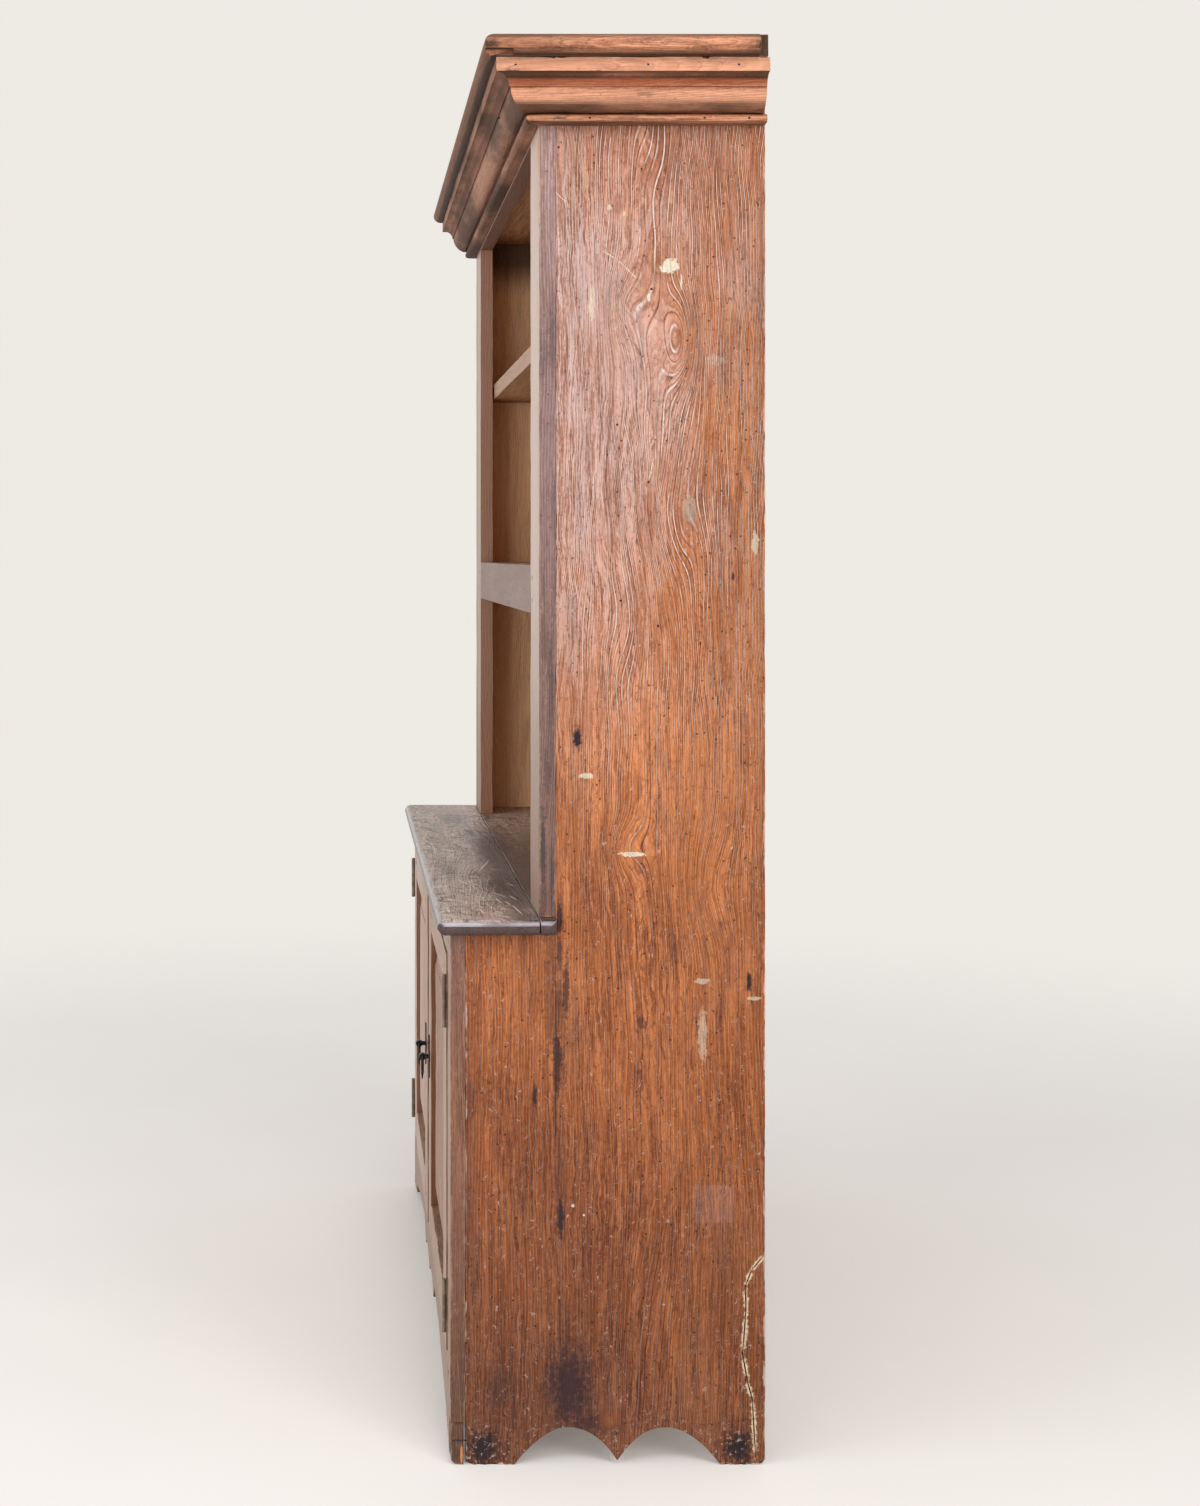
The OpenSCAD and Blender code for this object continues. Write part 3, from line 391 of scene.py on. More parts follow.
class Surface:
    """A board's finish while marks are added to it."""

    def __init__(self, g, coordinates, parts, results):
        self.g, self.coordinates, self.parts = g, coordinates, parts
        self.colour, self.rough, self.height, self.cloud, self.tonal = results
        self.ragged = g.noise(coordinates, scale=150.0, detail=3.0, roughness=0.7)
        self.x, self.y, self.z = parts.values()
        self.planes = {}

    def plane(self, axes):
        """The two named coordinates, for marks on the face that they lie in."""
        if axes not in self.planes:
            self.planes[axes] = self.g.vector(self.parts[axes[0]], self.parts[axes[1]])
        return self.planes[axes]

    def facing(self, axis, sign):
        """1 where the surface looks along an axis, against it with a sign of -1, or either way with 0."""
        normal = self.g.split(self.g.coordinates(1))["xyz".index(axis)]
        return self.g.step(normal * sign if sign else self.g.size(normal), 0.72, 0.92)

    def tint(self, amount, colour, rough=0.0, height=0.0):
        """Mixes in a colour where amount is more than 0, with its change of roughness and height."""
        self.colour = self.g.mix(amount, self.colour, colour)
        if rough:
            self.rough = self.rough + amount * rough
        if height:
            self.height = self.height + amount * height

    def tint_face(self, axis, sign, amount, colour, rough=0.0):
        self.tint(self.facing(axis, sign) * amount, colour, rough)

    def marks(self, marks, colour, soft=0.6, ragged=1.0, rough=0.0, height=0.0, only=1.0, axes="yz"):
        """Ragged ellipses of one colour. Each mark is its middle, its half sizes, its strength and its turn.
        Only is how much of them a face takes, and axes are the two that they lie in."""
        g, plane = self.g, self.plane(axes)
        uneven = (self.ragged - 0.5) * ragged
        total = None
        for a, b, half_a, half_b, strength, *turn in marks:
            edge = g.distance(plane, (a * MM, b * MM), (half_a * MM, half_b * MM), *turn) + uneven
            mark = g.step(edge, 1.0, 1.0 - soft, 0.0, strength)
            total = mark if total is None else g.high(total, mark)
        self.tint(total * only, colour, rough, height)


LINE_OVERLAP = 1.12


def line_marks(lines, width, strength):
    """Thin lines through points, as one narrow mark for each stretch."""
    marks = []
    for (x0, y0), (x1, y1) in [stretch for points in lines for stretch in zip(points, points[1:])]:
        half = math.hypot(x1 - x0, y1 - y0) / 2
        turn = math.atan2(y1 - y0, x1 - x0)
        marks.append(((x0 + x1) / 2, (y0 + y1) / 2, half * LINE_OVERLAP, width, strength, turn))
    return marks


def wood_material(name, finish, grow=None, extra=None):
    """The finish of one board. Grow gives values of its grain, and extra adds marks to its surface."""
    material, g, shader = material_with(name + "_finish")
    axes = AXES_OF[name]
    coordinates = g.coordinates()
    parts = dict(zip("xyz", g.split(coordinates)))
    place = g.vector(*[parts[axis] for axis in axes])
    low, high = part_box(name)
    middle = (low + high) / 2
    source = random.Random(name)
    seed = tuple(source.uniform(-20.0, 20.0) for _ in range(3))
    pith = (getattr(middle, axes[0]) + source.uniform(-0.04, 0.04),
            getattr(middle, axes[1]) + source.choice((-1, 1)) * source.uniform(0.04, 0.09), 0.0)
    ground = finish.grounds[0]
    # Several grounds make a ramp from the floor up, lighter higher up: partly the wood's own colour, partly
    # painted light from above.
    if len(finish.grounds) > 1:
        last = len(finish.grounds) - 1
        ground = g.ramp(parts["z"] / TOTAL_HEIGHT, [(i / last, c) for i, c in enumerate(finish.grounds)])
    values = {"Place": place, "Ground": ground, "Seed": seed, "Pith": pith,
              "Pitch": source.uniform(0.0023, 0.0034), "Low": [getattr(low, axis) for axis in axes],
              "High": [getattr(high, axis) for axis in axes], **finish.colours, **finish.amounts}
    if grow:
        values.update(grow(g, parts, ground))
    group = g.tree.nodes.new("ShaderNodeGroup")
    group.node_tree = WOOD_GROUP
    g.give(group, values)
    board = Surface(g, coordinates, parts, [Wire(g, group.outputs[key]) for key in WOOD_OUTPUTS])
    if extra:
        extra(board)
    bump = g.node("Bump", {"Height": board.height, "Strength": finish.bump, "Distance": BUMP_DEPTH})
    g.give(shader, {"Base Color": board.colour, "Roughness": board.rough, "Normal": bump,
                    "Specular IOR Level": finish.specular, "Coat Weight": finish.coat,
                    "Coat Roughness": COAT_ROUGHNESS})
    return material


# Marks on the side boards

BARE_WOOD = tone(232, 220, 198)
BLUE_BLACK = tone(48, 36, 42)
PURPLE_BLACK = tone(64, 42, 44)
DEEP_BROWN = tone(84, 52, 38)
HAZE = tone(202, 168, 160)
PINK_SHEEN = tone(222, 194, 190)
ORANGE = tone(174, 100, 50)
CRACK_LIP = tone(236, 208, 176)
GLINT = tone(206, 188, 176)
CRACK_DARK = tone(70, 34, 22)

# Spots on the right side board: across, up, half width, half height and strength
SIDE_PALE_SPOTS = [
    (102, 1758, 15, 12, 1.0), (119, 1735, 1.6, 12, 0.9), (71, 1711, 3, 7, 0.9), (14, 1844, 4, 5, 0.6),
    (35, 1835, 2, 5, 0.6), (-20, 1010, 13, 4.5, 0.75), (48, 895, 23, 4, 0.8), (149, 709, 13, 5, 0.45),
    (150, 629, 8, 40, 0.35), (226, 684, 11, 3, 0.5), (-40, 380, 3, 3, 0.8), (-24, 366, 2, 2, 0.8),
    (227, 1352, 6, 18, 0.6), (-12, 1702, 5, 30, 0.45), (131, 1402, 11, 22, 0.22), (-4, 1786, 4, 12, 0.4),
    (170, 1620, 16, 9, 0.18)]
SIDE_DARK_SPOTS = [
    (-34, 1066, 8, 22, 1.0), (-60, 800, 6, 34, 0.9), (-50, 694, 7, 58, 0.8), (-63, 588, 9, 70, 0.85),
    (-60, 752, 5, 34, 0.75), (-64, 672, 21, 60, 0.5), (218, 708, 5, 18, 1.0), (60, 648, 8, 12, 0.6),
    (-58, 360, 6, 40, 0.9), (195, 1303, 3, 8, 0.9), (131, 1397, 14, 20, 0.35), (-96, 542, 5, 24, 0.9),
    (-72, 690, 14, 130, 0.45)]
SIDE_HOLES = [
    (75, 1724), (25, 1525), (71, 1441), (85, 1230), (30, 1267), (-86, 1831), (-88, 1930), (-61, 1932)]
SIDE_SCRATCHES = [
    [(-86, 1876), (-70, 1865)], [(-65, 1866), (-51, 1852)], [(3, 1780), (26, 1767), (54, 1739)],
    [(71, 1441), (78, 1474)]]
BACK_EDGE_CRACK = [
    (239, 306), (222, 285), (213, 262), (214, 227), (209, 162), (216, 122), (223, 96), (228, 10)]
CRACK_LIP_WIDTH, CRACK_WIDTH, HOLE_RADIUS = 5.2, 1.4, 2.2
PALE_SQUARE = (0.166, 0.382), (0.030, 0.028)
SEAM = [(-65, 600, 1.3, 170, 0.8)]

# Places where the rings bend round a knot: across, up, half width, half height and push
SIDE_KNOTS = [
    (36, 1700, 26, 60, 16), (118, 1655, 26, 70, -20), (160, 850, 40, 80, 24), (40, 905, 30, 40, 12),
    (110, 1390, 40, 90, 14), (30, 1260, 40, 90, -10)]

# Where a side board's rings are wide: the middle and the reach across, and how far they move
WIDE_RINGS_AT, WIDE_RINGS_REACH, WIDE_RINGS_SHIFT = 0.070, 0.060, 0.034
SIDE_PITH_ACROSS, SIDE_PITH_DEPTH, SIDE_PITCH = 0.33, 0.05, 0.0042
HAZE_START, HAZE_FULL = 0.95, 1.50
TOP_CLEAR, TOP_HAZY = 1.92, 1.78


def sheen_and_orange_by_height(g, parts, ground):
    """The upper front part of a side board takes a painted grey-pink sheen, and its back part is more orange.
    """
    y, z = parts["y"], parts["z"]
    patches = g.noise(g.vector(parts["x"], y, z * 0.5), scale=11.0, detail=3.0, roughness=0.6) - 0.5
    # The haze is a painted grey-pink sheen on the upper front part.
    haze = g.step(z + patches * 0.5, HAZE_START, HAZE_FULL) * g.step(y + patches * 0.9, 0.26, -0.12)
    haze = haze * g.step(z + patches * 0.2, TOP_CLEAR, TOP_HAZY, 0.3, 1.0)
    orange = g.step(y + patches * 0.4, 0.04, 0.20)
    return g.mix(haze * 0.5, g.mix(orange * 0.3, ground, ORANGE), HAZE)


def side_grain(g, parts, ground):
    """The rings of a side board, pushed sideways round its knots, with pale crests of painted highlight in
    its upper half and a painted grey-pink sheen on its upper front part.
    """
    y, z = parts["y"], parts["z"]
    plane = g.vector(y, z)
    warp = None
    for a, b, half_a, half_b, push in SIDE_KNOTS:
        scaled = g.distance(plane, (a * MM, b * MM), (half_a * MM, half_b * MM))
        bump = g.math("EXPONENT", scaled * scaled * -1.0) * (push * MM)
        warp = bump if warp is None else warp + bump
    wide_rings = g.math("TANH", (y - WIDE_RINGS_AT) / WIDE_RINGS_REACH) * -WIDE_RINGS_SHIFT
    return {"Pith": (SIDE_PITH_ACROSS, SIDE_HIGH.x - SIDE_PITH_DEPTH, 0.0), "Pitch": SIDE_PITCH,
            "Warp": warp + wide_rings, "Ground": sheen_and_orange_by_height(g, parts, ground),
            "Crests": g.step(z, 0.7, 1.4, 0.15, 1.0), "Waves": g.step(z, 0.7, 1.4, 0.010, 0.030),
            "Contrast": g.step(z, 0.7, 1.2, 1.0, 0.8)}


def left_side_grain(g, parts, ground):
    """The left board's rings, round a middle that lies on its own side."""
    return {**side_grain(g, parts, ground), "Pith": (SIDE_PITH_ACROSS, SIDE_PITH_DEPTH - SIDE_HIGH.x, 0.0)}


FOOT_STAINS = [(-172, 26, 34, 36, 1.0), (202, 26, 32, 36, 1.0)]
LOW_STAIN = [
    (-46, 112, 60, 106, 1.0), (-20, 62, 74, 28, 0.8), (-150, 110, 30, 60, 0.5), (-60, 420, 18, 140, 0.35),
    (-190, 420, 24, 420, 0.25), (190, 300, 40, 150, 0.22)]
LOW_ORANGE = [(14, 66, 20, 18, 0.5)]


def foot_stains(board):
    """Dark stains that rise from the floor, with small painted glints of light near the floor."""
    board.marks(LOW_STAIN, PURPLE_BLACK, soft=0.9, ragged=1.4)
    board.marks(LOW_ORANGE, ORANGE, soft=0.9)
    board.marks(FOOT_STAINS, BLUE_BLACK, soft=0.8, ragged=2.2)
    g = board.g
    # Painted glints: small pale specks of light near the floor.
    glints = g.step(board.z, 0.095, 0.02) * g.step(board.ragged, 0.61, 0.66)
    board.tint(glints * 0.6, GLINT)


def sheen_on_pale_streaks(board):
    """A painted greyish pink sheen on the pale streaks of a side board's upper front part."""
    g = board.g
    y, z = board.y, board.z
    uneven = (board.cloud - 0.5) * 0.3
    # Painted sheen, on the paler streaks only.
    haze = g.step(z + uneven, HAZE_START, HAZE_FULL) * g.step(y + uneven, 0.18, -0.12)
    haze = haze * g.step(z + uneven, TOP_CLEAR, TOP_HAZY, 0.3, 1.0)
    board.tint(haze * g.step(board.tonal, 0.25, 0.85) * 0.8, PINK_SHEEN)


def pale_square(board):
    """A faintly paler square, where something once hung."""
    g = board.g
    (middle_y, middle_z), (half_y, half_z) = PALE_SQUARE
    off_y, off_z = g.size(board.y - middle_y), g.size(board.z - middle_z)
    near = g.high(off_y / half_y, off_z / half_z)
    board.tint(g.step(near + (board.ragged - 0.5) * 0.2, 1.04, 0.94, 0.0, 0.12), HAZE)


def side_marks(board):
    """Every stain, hole, scrape and crack that the right side board shows, with its painted sheen, painted
    glints near the floor and painted shade in its crack.
    """
    sheen_on_pale_streaks(board)
    foot_stains(board)
    board.marks(SIDE_DARK_SPOTS, BLUE_BLACK, soft=0.65, ragged=1.8, rough=-0.1)
    board.marks(SEAM, DEEP_BROWN, soft=0.5, ragged=0.9, height=-1.0)
    scratches = line_marks(SIDE_SCRATCHES, 0.9, 0.8)
    board.marks(SIDE_PALE_SPOTS + scratches, BARE_WOOD, soft=0.3, ragged=1.6, rough=0.2)
    pale_square(board)
    board.marks(line_marks([BACK_EDGE_CRACK], CRACK_LIP_WIDTH, 0.9), CRACK_LIP, ragged=2.6, rough=0.2,
                  height=0.5)
    # A dark line down the crack: painted shade inside it.
    board.marks(line_marks([BACK_EDGE_CRACK], CRACK_WIDTH, 1.0), CRACK_DARK, ragged=0.5)
    holes = [(*place, HOLE_RADIUS, HOLE_RADIUS, 1.0) for place in SIDE_HOLES]
    board.marks(holes, DARK_PORE, soft=0.4, ragged=0.2)


# Marks and wear of the other boards

BLEACH_AND_SHEEN = tone(226, 205, 192)
FRONT_TAN = tone(162, 122, 92)
COUNTER_NOSE = tone(56, 36, 36)
RUB_AND_HIGHLIGHT = tone(194, 186, 196)
COVE_SHADE_BROWN = tone(146, 64, 26)
BAND_PALE = tone(238, 178, 146)
FRONT_BROWN = tone(80, 50, 34)
FRONT_SHADE = tone(54, 32, 18)
EDGE_BROWN = tone(112, 66, 40)
PAINTED_INSIDE_LIGHT = tone(255, 210, 164)
COUNTER_FRONT_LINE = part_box("counter_front_board")[0].y
NOSE_RIM = 0.016
BAND_LOW, COVE_LOW, OVOLO_LOW = 2.024, 2.009, 1.978
LIP_STAINS = [
    (-134, 2027, 19, 4, 0.9), (-12, 2026, 16, 4, 0.9), (200, 2024, 24, 4, 0.9), (60, 2000, 20, 5, 0.4),
    (-60, 1970, 14, 3, 0.6), (120, 1969, 30, 3, 0.5)]
LIP_BARE = [
    (80, 2026, 40, 3, 0.5), (-70, 2025, 44, 2.4, 0.5), (150, 2025, 30, 2.4, 0.5), (20, 1978, 60, 3, 0.4),
    (190, 1980, 30, 3, 0.4)]
TOP_STAINS = [
    (-170, 2062, 26, 9, 0.8), (-60, 2056, 60, 6, 0.6), (60, 2068, 46, 6, 0.5), (130, 2056, 34, 6, 0.6),
    (226, 2062, 22, 12, 0.9), (10, 2052, 160, 4, 0.5)]
STILE_STAINS = [
    (-84, 1628, 9, 64, 0.4), (-84, 900, 6, 96, 0.9), (-71, 860, 5, 70, 0.8), (-78, 1010, 9, 50, 0.5),
    (-72, 1130, 6, 120, 0.5), (-66, 1420, 7, 60, 0.45), (-70, 1640, 9, 80, 0.5), (-84, 835, 8, 40, 0.5)]
SOOT_AND_SHADE = tone(40, 24, 18)
# The first mark is a gap, in painted shade; the other two are burns.
BLOCK_DARK = [(-199, 18, 1.0, 24, 1.0), (-208, 14, 8, 12, 0.5), (-208, 60, 12, 1.5, 0.8)]
BLOCK_SPLINTER = [(-203.5, 14, 2.4, 17, 0.9)]
SPLINTER = tone(206, 132, 74)
SHELF_GREY = tone(168, 146, 130)
RAIL_GREY = tone(138, 114, 102)
STILE_BROWN = tone(146, 98, 66)
COUNTER_SHEEN = tone(188, 168, 156)
# Pale patches of painted sheen on the counter top.
COUNTER_PALE = [
    (-560, -170, 130, 44, 0.5), (-220, -190, 260, 20, 0.5), (560, -200, 110, 20, 0.5),
    (120, -150, 90, 14, 0.4), (610, -100, 44, 20, 0.45)]
# Dark patches on the counter top: partly stains, partly a painted reflection of the stile.
COUNTER_PATCHES = [
    (-100, -105, 280, 50, 0.7), (380, -110, 190, 52, 0.8), (-450, -150, 160, 40, 0.5),
    (620, -90, 60, 30, 0.6), (200, -200, 160, 22, 0.5)]
COUNTER_SCRATCHES = [((x0, y0), (x1, y1)) for x0, y0, x1, y1 in (
    (560, -150, 600, -128), (585, -155, 612, -120), (500, -140, 540, -135), (620, -170, 660, -140),
    (300, -190, 420, -160), (100, -120, 240, -150), (590, -172, 640, -168), (560, -120, 640, -112),
    (470, -180, 500, -150), (640, -150, 668, -132), (540, -175, 560, -140), (420, -150, 500, -120),
    (560, -134, 575, -116), (590, -142, 596, -120), (605, -150, 640, -140), (530, -128, 560, -122),
    (575, -165, 580, -145), (470, -118, 520, -108), (650, -216, 668, -204), (200, -130, 215, -105),
    (350, -115, 380, -100))]
COUNTER_NOISES = [((14.0, 12.0), 3.0, 1.4), ((24.0, 30.0), 2.0, 1.0), ((22.0, 48.0), 1.0, 1.6)]
STILE_FRONT_RAW = [(655, 1925, 14, 44, 0.8), (660, 1840, 5, 30, 0.5), (646, 900, 6, 60, 0.4)]
STILE_FRONT_DIRT = [
    (652, 1500, 6, 130, 0.3), (659, 1180, 5, 90, 0.35), (640, 1700, 5, 70, 0.3), (655, 930, 9, 70, 0.4),
    (643, 1330, 4, 60, 0.3)]


def bleach_and_sheen_front(board, most=0.55):
    """The faces that look to the front are paler, most of all those higher up: partly bleached wood, partly
    painted sheen.
    """
    high = board.g.step(board.z + (board.cloud - 0.5) * 0.3, 0.85, 1.45, 0.16, most)
    front = board.facing("y", -1)
    board.tint(front * 0.4, FRONT_TAN)
    # The pale tint is partly bleaching, partly painted sheen.
    board.tint(front * high, BLEACH_AND_SHEEN)
    board.rough = board.rough - front * 0.16


def dull_rail(board):
    """The middle rail is grey-brown, where hands and plates rub it."""
    board.tint_face("y", -1, 0.5, RAIL_GREY, rough=-0.1)


def far_stile_wear(board):
    """The far stile's face towards the opening kept its brown finish."""
    bleach_and_sheen_front(board, 0.25)
    board.tint_face("x", 1, 0.85, STILE_BROWN)


def head_rail_wear(board):
    """The head rail's underside kept its brown finish."""
    bleach_and_sheen_front(board, 0.25)
    board.tint_face("z", -1, 0.85, EDGE_BROWN)


def upper_stile_wear(board):
    """Raw wood at the top of the upper stile, and purple-black dirt down its outer edge to the counter."""
    bleach_and_sheen_front(board)
    front = board.facing("y", -1)
    board.marks(STILE_FRONT_RAW, SPLINTER, soft=0.8, ragged=1.8, only=front, axes="xz")
    board.marks(STILE_FRONT_DIRT, PURPLE_BLACK, soft=0.8, ragged=1.8, only=front, axes="xz")
    board.marks(STILE_STAINS, BLUE_BLACK, soft=0.8, ragged=1.8, only=board.facing("x", 0))


def block_marks(board):
    """The repair block's bright splinter beside a black gap of painted shade, and burns at its corner."""
    board.marks(BLOCK_DARK, BLUE_BLACK, soft=0.7, ragged=1.4)
    board.marks(BLOCK_SPLINTER, SPLINTER, soft=0.4, ragged=0.5)


def shelf_edge(board):
    board.tint_face("y", -1, 0.6, SHELF_GREY)


def counter_wear(board):
    """A dark, polished round front edge with a painted highlight, and on top swirls, pale patches of painted
    sheen, dark patches, a painted dark reflection of the stile and pale scratches.
    """
    g = board.g
    x, y = board.x, board.y
    uneven = (board.ragged - 0.5) * 0.010
    top = board.facing("z", 1)
    nose = 1.0 - top
    board.rough = board.rough - 0.14
    board.tint(nose * 0.92, COUNTER_NOSE, rough=-0.22)
    up = g.split(g.coordinates(1))[2]
    # A painted highlight, partly rubbed wear, along the upper part of the round edge.
    rubbed = g.step(up, 0.22, 0.50) * g.step(up, 0.98, 0.80) * g.step(board.cloud, 0.30, 0.55, 0.4, 1.0)
    board.tint(rubbed * 0.72, RUB_AND_HIGHLIGHT)
    rim = g.step(y + uneven, COUNTER_FRONT_LINE + NOSE_RIM, COUNTER_FRONT_LINE)
    board.tint(rim * 0.5, COUNTER_NOSE, rough=-0.1)
    swirl, ripple, curl = [
        g.noise(g.stretch(board.coordinates, (*scale, 1.0)), detail=detail, distortion=bend)
        for scale, detail, bend in COUNTER_NOISES]
    # Painted sheen in pale swirls on the top.
    board.tint(top * g.step(swirl, 0.40, 0.62) * 0.5, COUNTER_SHEEN, rough=0.06)
    board.tint(top * g.step(g.size(swirl - 0.47), 0.030, 0.006) * 0.7, COUNTER_NOSE)
    board.tint(top * g.step(g.size(ripple - 0.5), 0.030, 0.006) * 0.6, COUNTER_NOSE)
    curls = g.step(g.size(curl - 0.5), 0.016, 0.004) * g.step(board.cloud, 0.44, 0.56)
    board.tint(top * curls * 0.8, BARE_WOOD)
    # A painted dark reflection of the stile, on the top in front of it.
    shade = g.step(y + (board.cloud - 0.5) * 0.06, -0.165, -0.115) * g.step(x, -0.5, 0.1)
    board.tint(top * shade * 0.8, COUNTER_NOSE)
    board.height = board.height * (1.0 - nose * 0.85)
    board.marks(COUNTER_PATCHES, PURPLE_BLACK, soft=0.9, ragged=1.6, axes="xy")
    board.marks(COUNTER_PALE, COUNTER_SHEEN, soft=0.9, ragged=1.8, rough=0.1, axes="xy")
    board.marks(line_marks(COUNTER_SCRATCHES, 1.6, 0.95), BARE_WOOD, soft=0.4, axes="xy")


def cornice_stains(board):
    """Painted light on the band and ovolo, painted shade in the cove, under the ovolo and on the rougher
    front, and black stains along the lips.
    """
    g = board.g
    z = board.z + (board.ragged - 0.5) * 0.006
    band = g.step(z, BAND_LOW - 0.001, BAND_LOW + 0.001)
    cove = g.step(z, COVE_LOW - 0.007, COVE_LOW + 0.008) * (1.0 - band)
    ovolo = g.step(z, OVOLO_LOW, OVOLO_LOW + 0.006) * g.step(z, COVE_LOW, COVE_LOW - 0.006)
    # Painted light on the band and ovolo, lit from above.
    board.tint(band * 0.3 + ovolo * 0.35, BAND_PALE)
    # Painted shade in the cove.
    board.tint(cove * 0.75, COVE_SHADE_BROWN)
    # Painted shade under the ovolo.
    under = g.step(z, OVOLO_LOW + 0.006, OVOLO_LOW) * g.step(z, OVOLO_LOW - 0.001, OVOLO_LOW)
    board.tint(under * 0.5, COVE_SHADE_BROWN)
    ends = board.facing("x", 0)
    front = 1.0 - ends
    # Painted shade on the front faces, which are also rougher.
    board.tint(front * g.step(board.cloud, 0.36, 0.62, 0.40, 0.90), FRONT_SHADE, rough=0.1)
    board.marks(LIP_BARE, BAND_PALE, soft=0.5, ragged=1.8, rough=0.1, only=ends)
    board.marks(LIP_STAINS, BLUE_BLACK, soft=0.8, ragged=1.6, only=ends)


def top_board_grain(g, parts, ground):
    """The top board's ends show long grain too, as its round edge does in front."""
    along_ends = g.vector(parts["z"], parts["x"], parts["y"])
    along_front = g.vector(parts["z"], parts["y"], parts["x"])
    at_end = g.step(g.size(g.split(g.coordinates(1))[0]), 0.4, 0.6)
    place = g.node("Mix", {0: at_end, 4: along_front, 5: along_ends}, out=1, data_type="VECTOR")
    low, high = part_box("top_board")
    return {"Place": place, "Low": (low.z, low.y, low.x), "High": (high.z, high.y, high.x),
            "Pith": (low.z - 0.03, low.y, 0.0)}


def top_board_stains(board):
    """Brown-grey dirt along the top board's edge, darker in front and at its corner, with painted shade on
    its front and its underside and black stains on its ends.
    """
    g = board.g
    y = board.y + (board.cloud - 0.5) * 0.2
    board.tint(g.step(y, 0.02, -0.14) * 0.45, FRONT_BROWN)
    board.tint(g.step(y, 0.17, 0.24) * 0.5, FRONT_BROWN)
    ends = board.facing("x", 0)
    # Painted shade on the faces that look to the front.
    board.tint((1.0 - ends) * 0.5, FRONT_SHADE, rough=0.1)
    board.marks(TOP_STAINS, SOOT_AND_SHADE, soft=0.9, ragged=1.8, only=ends)
    # Painted shade on the underside, under the overhang.
    board.tint_face("z", -1, 0.85, SOOT_AND_SHADE)


def dark_end(board):
    board.tint_face("x", 0, 0.85, SOOT_AND_SHADE)


def far_door_paler(board):
    """The left door's front is paler, more so further left: partly bleached, partly painted sheen."""
    far = board.g.step(board.x, 0.1, -0.5, 0.0, 0.4)
    # The pale tint is partly bleaching, partly painted sheen.
    board.tint(board.facing("y", -1) * far, BLEACH_AND_SHEEN)


def door_wear(board):
    """Paler faces in front, partly bleached and partly painted sheen, and warm brown edges where the sun
    doesn't reach.
    """
    bleach_and_sheen_front(board)
    board.tint_face("x", 0, 0.8, EDGE_BROWN)
    far_door_paler(board)


def inside_with_painted_light(board):
    """The inner face of the left side board, made much paler as painted light inside the cupboard, and darker
    at its top as painted shade.
    """
    g = board.g
    foot_stains(board)
    inner = board.facing("x", 1)
    # Painted light: the inner face is made far paler than the wood outside.
    board.tint(inner * g.step(board.tonal, 0.1, 0.6, 0.76, 0.97), PAINTED_INSIDE_LIGHT)
    # Painted shade at the top of the inside, above the top shelf.
    board.tint(g.step(board.z, 1.87, 1.95) * inner * 0.85, SOOT_AND_SHADE)


def iron_material(name, dark, light, metallic):
    """Forged iron with a dull scale and rubbed, brighter high places."""
    material, g, shader = material_with(name)
    coordinates = g.coordinates()
    scale = g.noise(coordinates, scale=260.0, detail=4.0, roughness=0.65)
    patch = g.noise(coordinates, scale=70.0, detail=3.0, roughness=0.6)
    colour = g.mix(g.step(patch, 0.4, 0.65), dark, light)
    colour = g.mix(g.step(scale, 0.62, 0.75), colour, RUST)
    bump = g.node("Bump", {"Height": scale + patch, "Strength": 0.6, "Distance": 0.0008})
    g.give(shader, {"Base Color": colour, "Roughness": g.step(scale, 0.3, 0.7, 0.24, 0.50),
                    "Metallic": metallic, "Normal": bump})
    return material


RUST = tone(92, 72, 58)
BLACK_IRON = iron_material("black_iron", tone(34, 34, 36), tone(62, 58, 56), 0.85)
DULL_IRON = iron_material("dull_iron", tone(104, 88, 72), tone(132, 118, 102), 0.2)


# Worn copies of the boards

CUT_EVERY = 0.035
EDGE_LOSS = 0.0014
SHARP = math.radians(28)
KEPT_SHARP = math.radians(35)
FLAT = math.radians(0.5)
SAME_POINT = 1e-5
EDGE_ROUND, EDGE_SEGMENTS, EDGE_PROFILE = 0.0016, 3, 0.55
CHIP_SIZES = 0.0012, 0.0030
CRACK_DEPTH, CRACK_OPENING, CRACK_PROUD = 0.007, 0.0032, 0.002


def sharp_edges(built):
    return [e for e in built.edges if len(e.link_faces) == 2 and e.calc_face_angle() > SHARP]


def cut_across_grain(built, axis, low, high):
    """Adds vertices along a board's edges, so that wear can move them."""
    normal = Vector([1.0 if letter == axis else 0.0 for letter in "xyz"])
    start, end = getattr(low, axis), getattr(high, axis)
    for i in range(1, int((end - start) / CUT_EVERY)):
        place = normal * (start + i * CUT_EVERY)
        geometry = built.verts[:] + built.edges[:] + built.faces[:]
        bmesh.ops.bisect_plane(built, geom=geometry, plane_co=place, plane_no=normal,
                               dist=SAME_POINT)


def wear_edges(built, seed):
    """Moves the vertices of sharp edges inwards by an uneven amount."""
    built.normal_update()
    shift = Vector((seed, seed * 0.7, seed * 1.3))
    for v in {v for e in sharp_edges(built) for v in e.verts}:
        broad = max(0.0, noise.noise(v.co * 21.0 + shift) + 0.15)
        fine = 0.4 * max(0.0, noise.noise(v.co * 90.0 + shift))
        v.co -= v.normal * EDGE_LOSS * min(1.0, broad + fine)


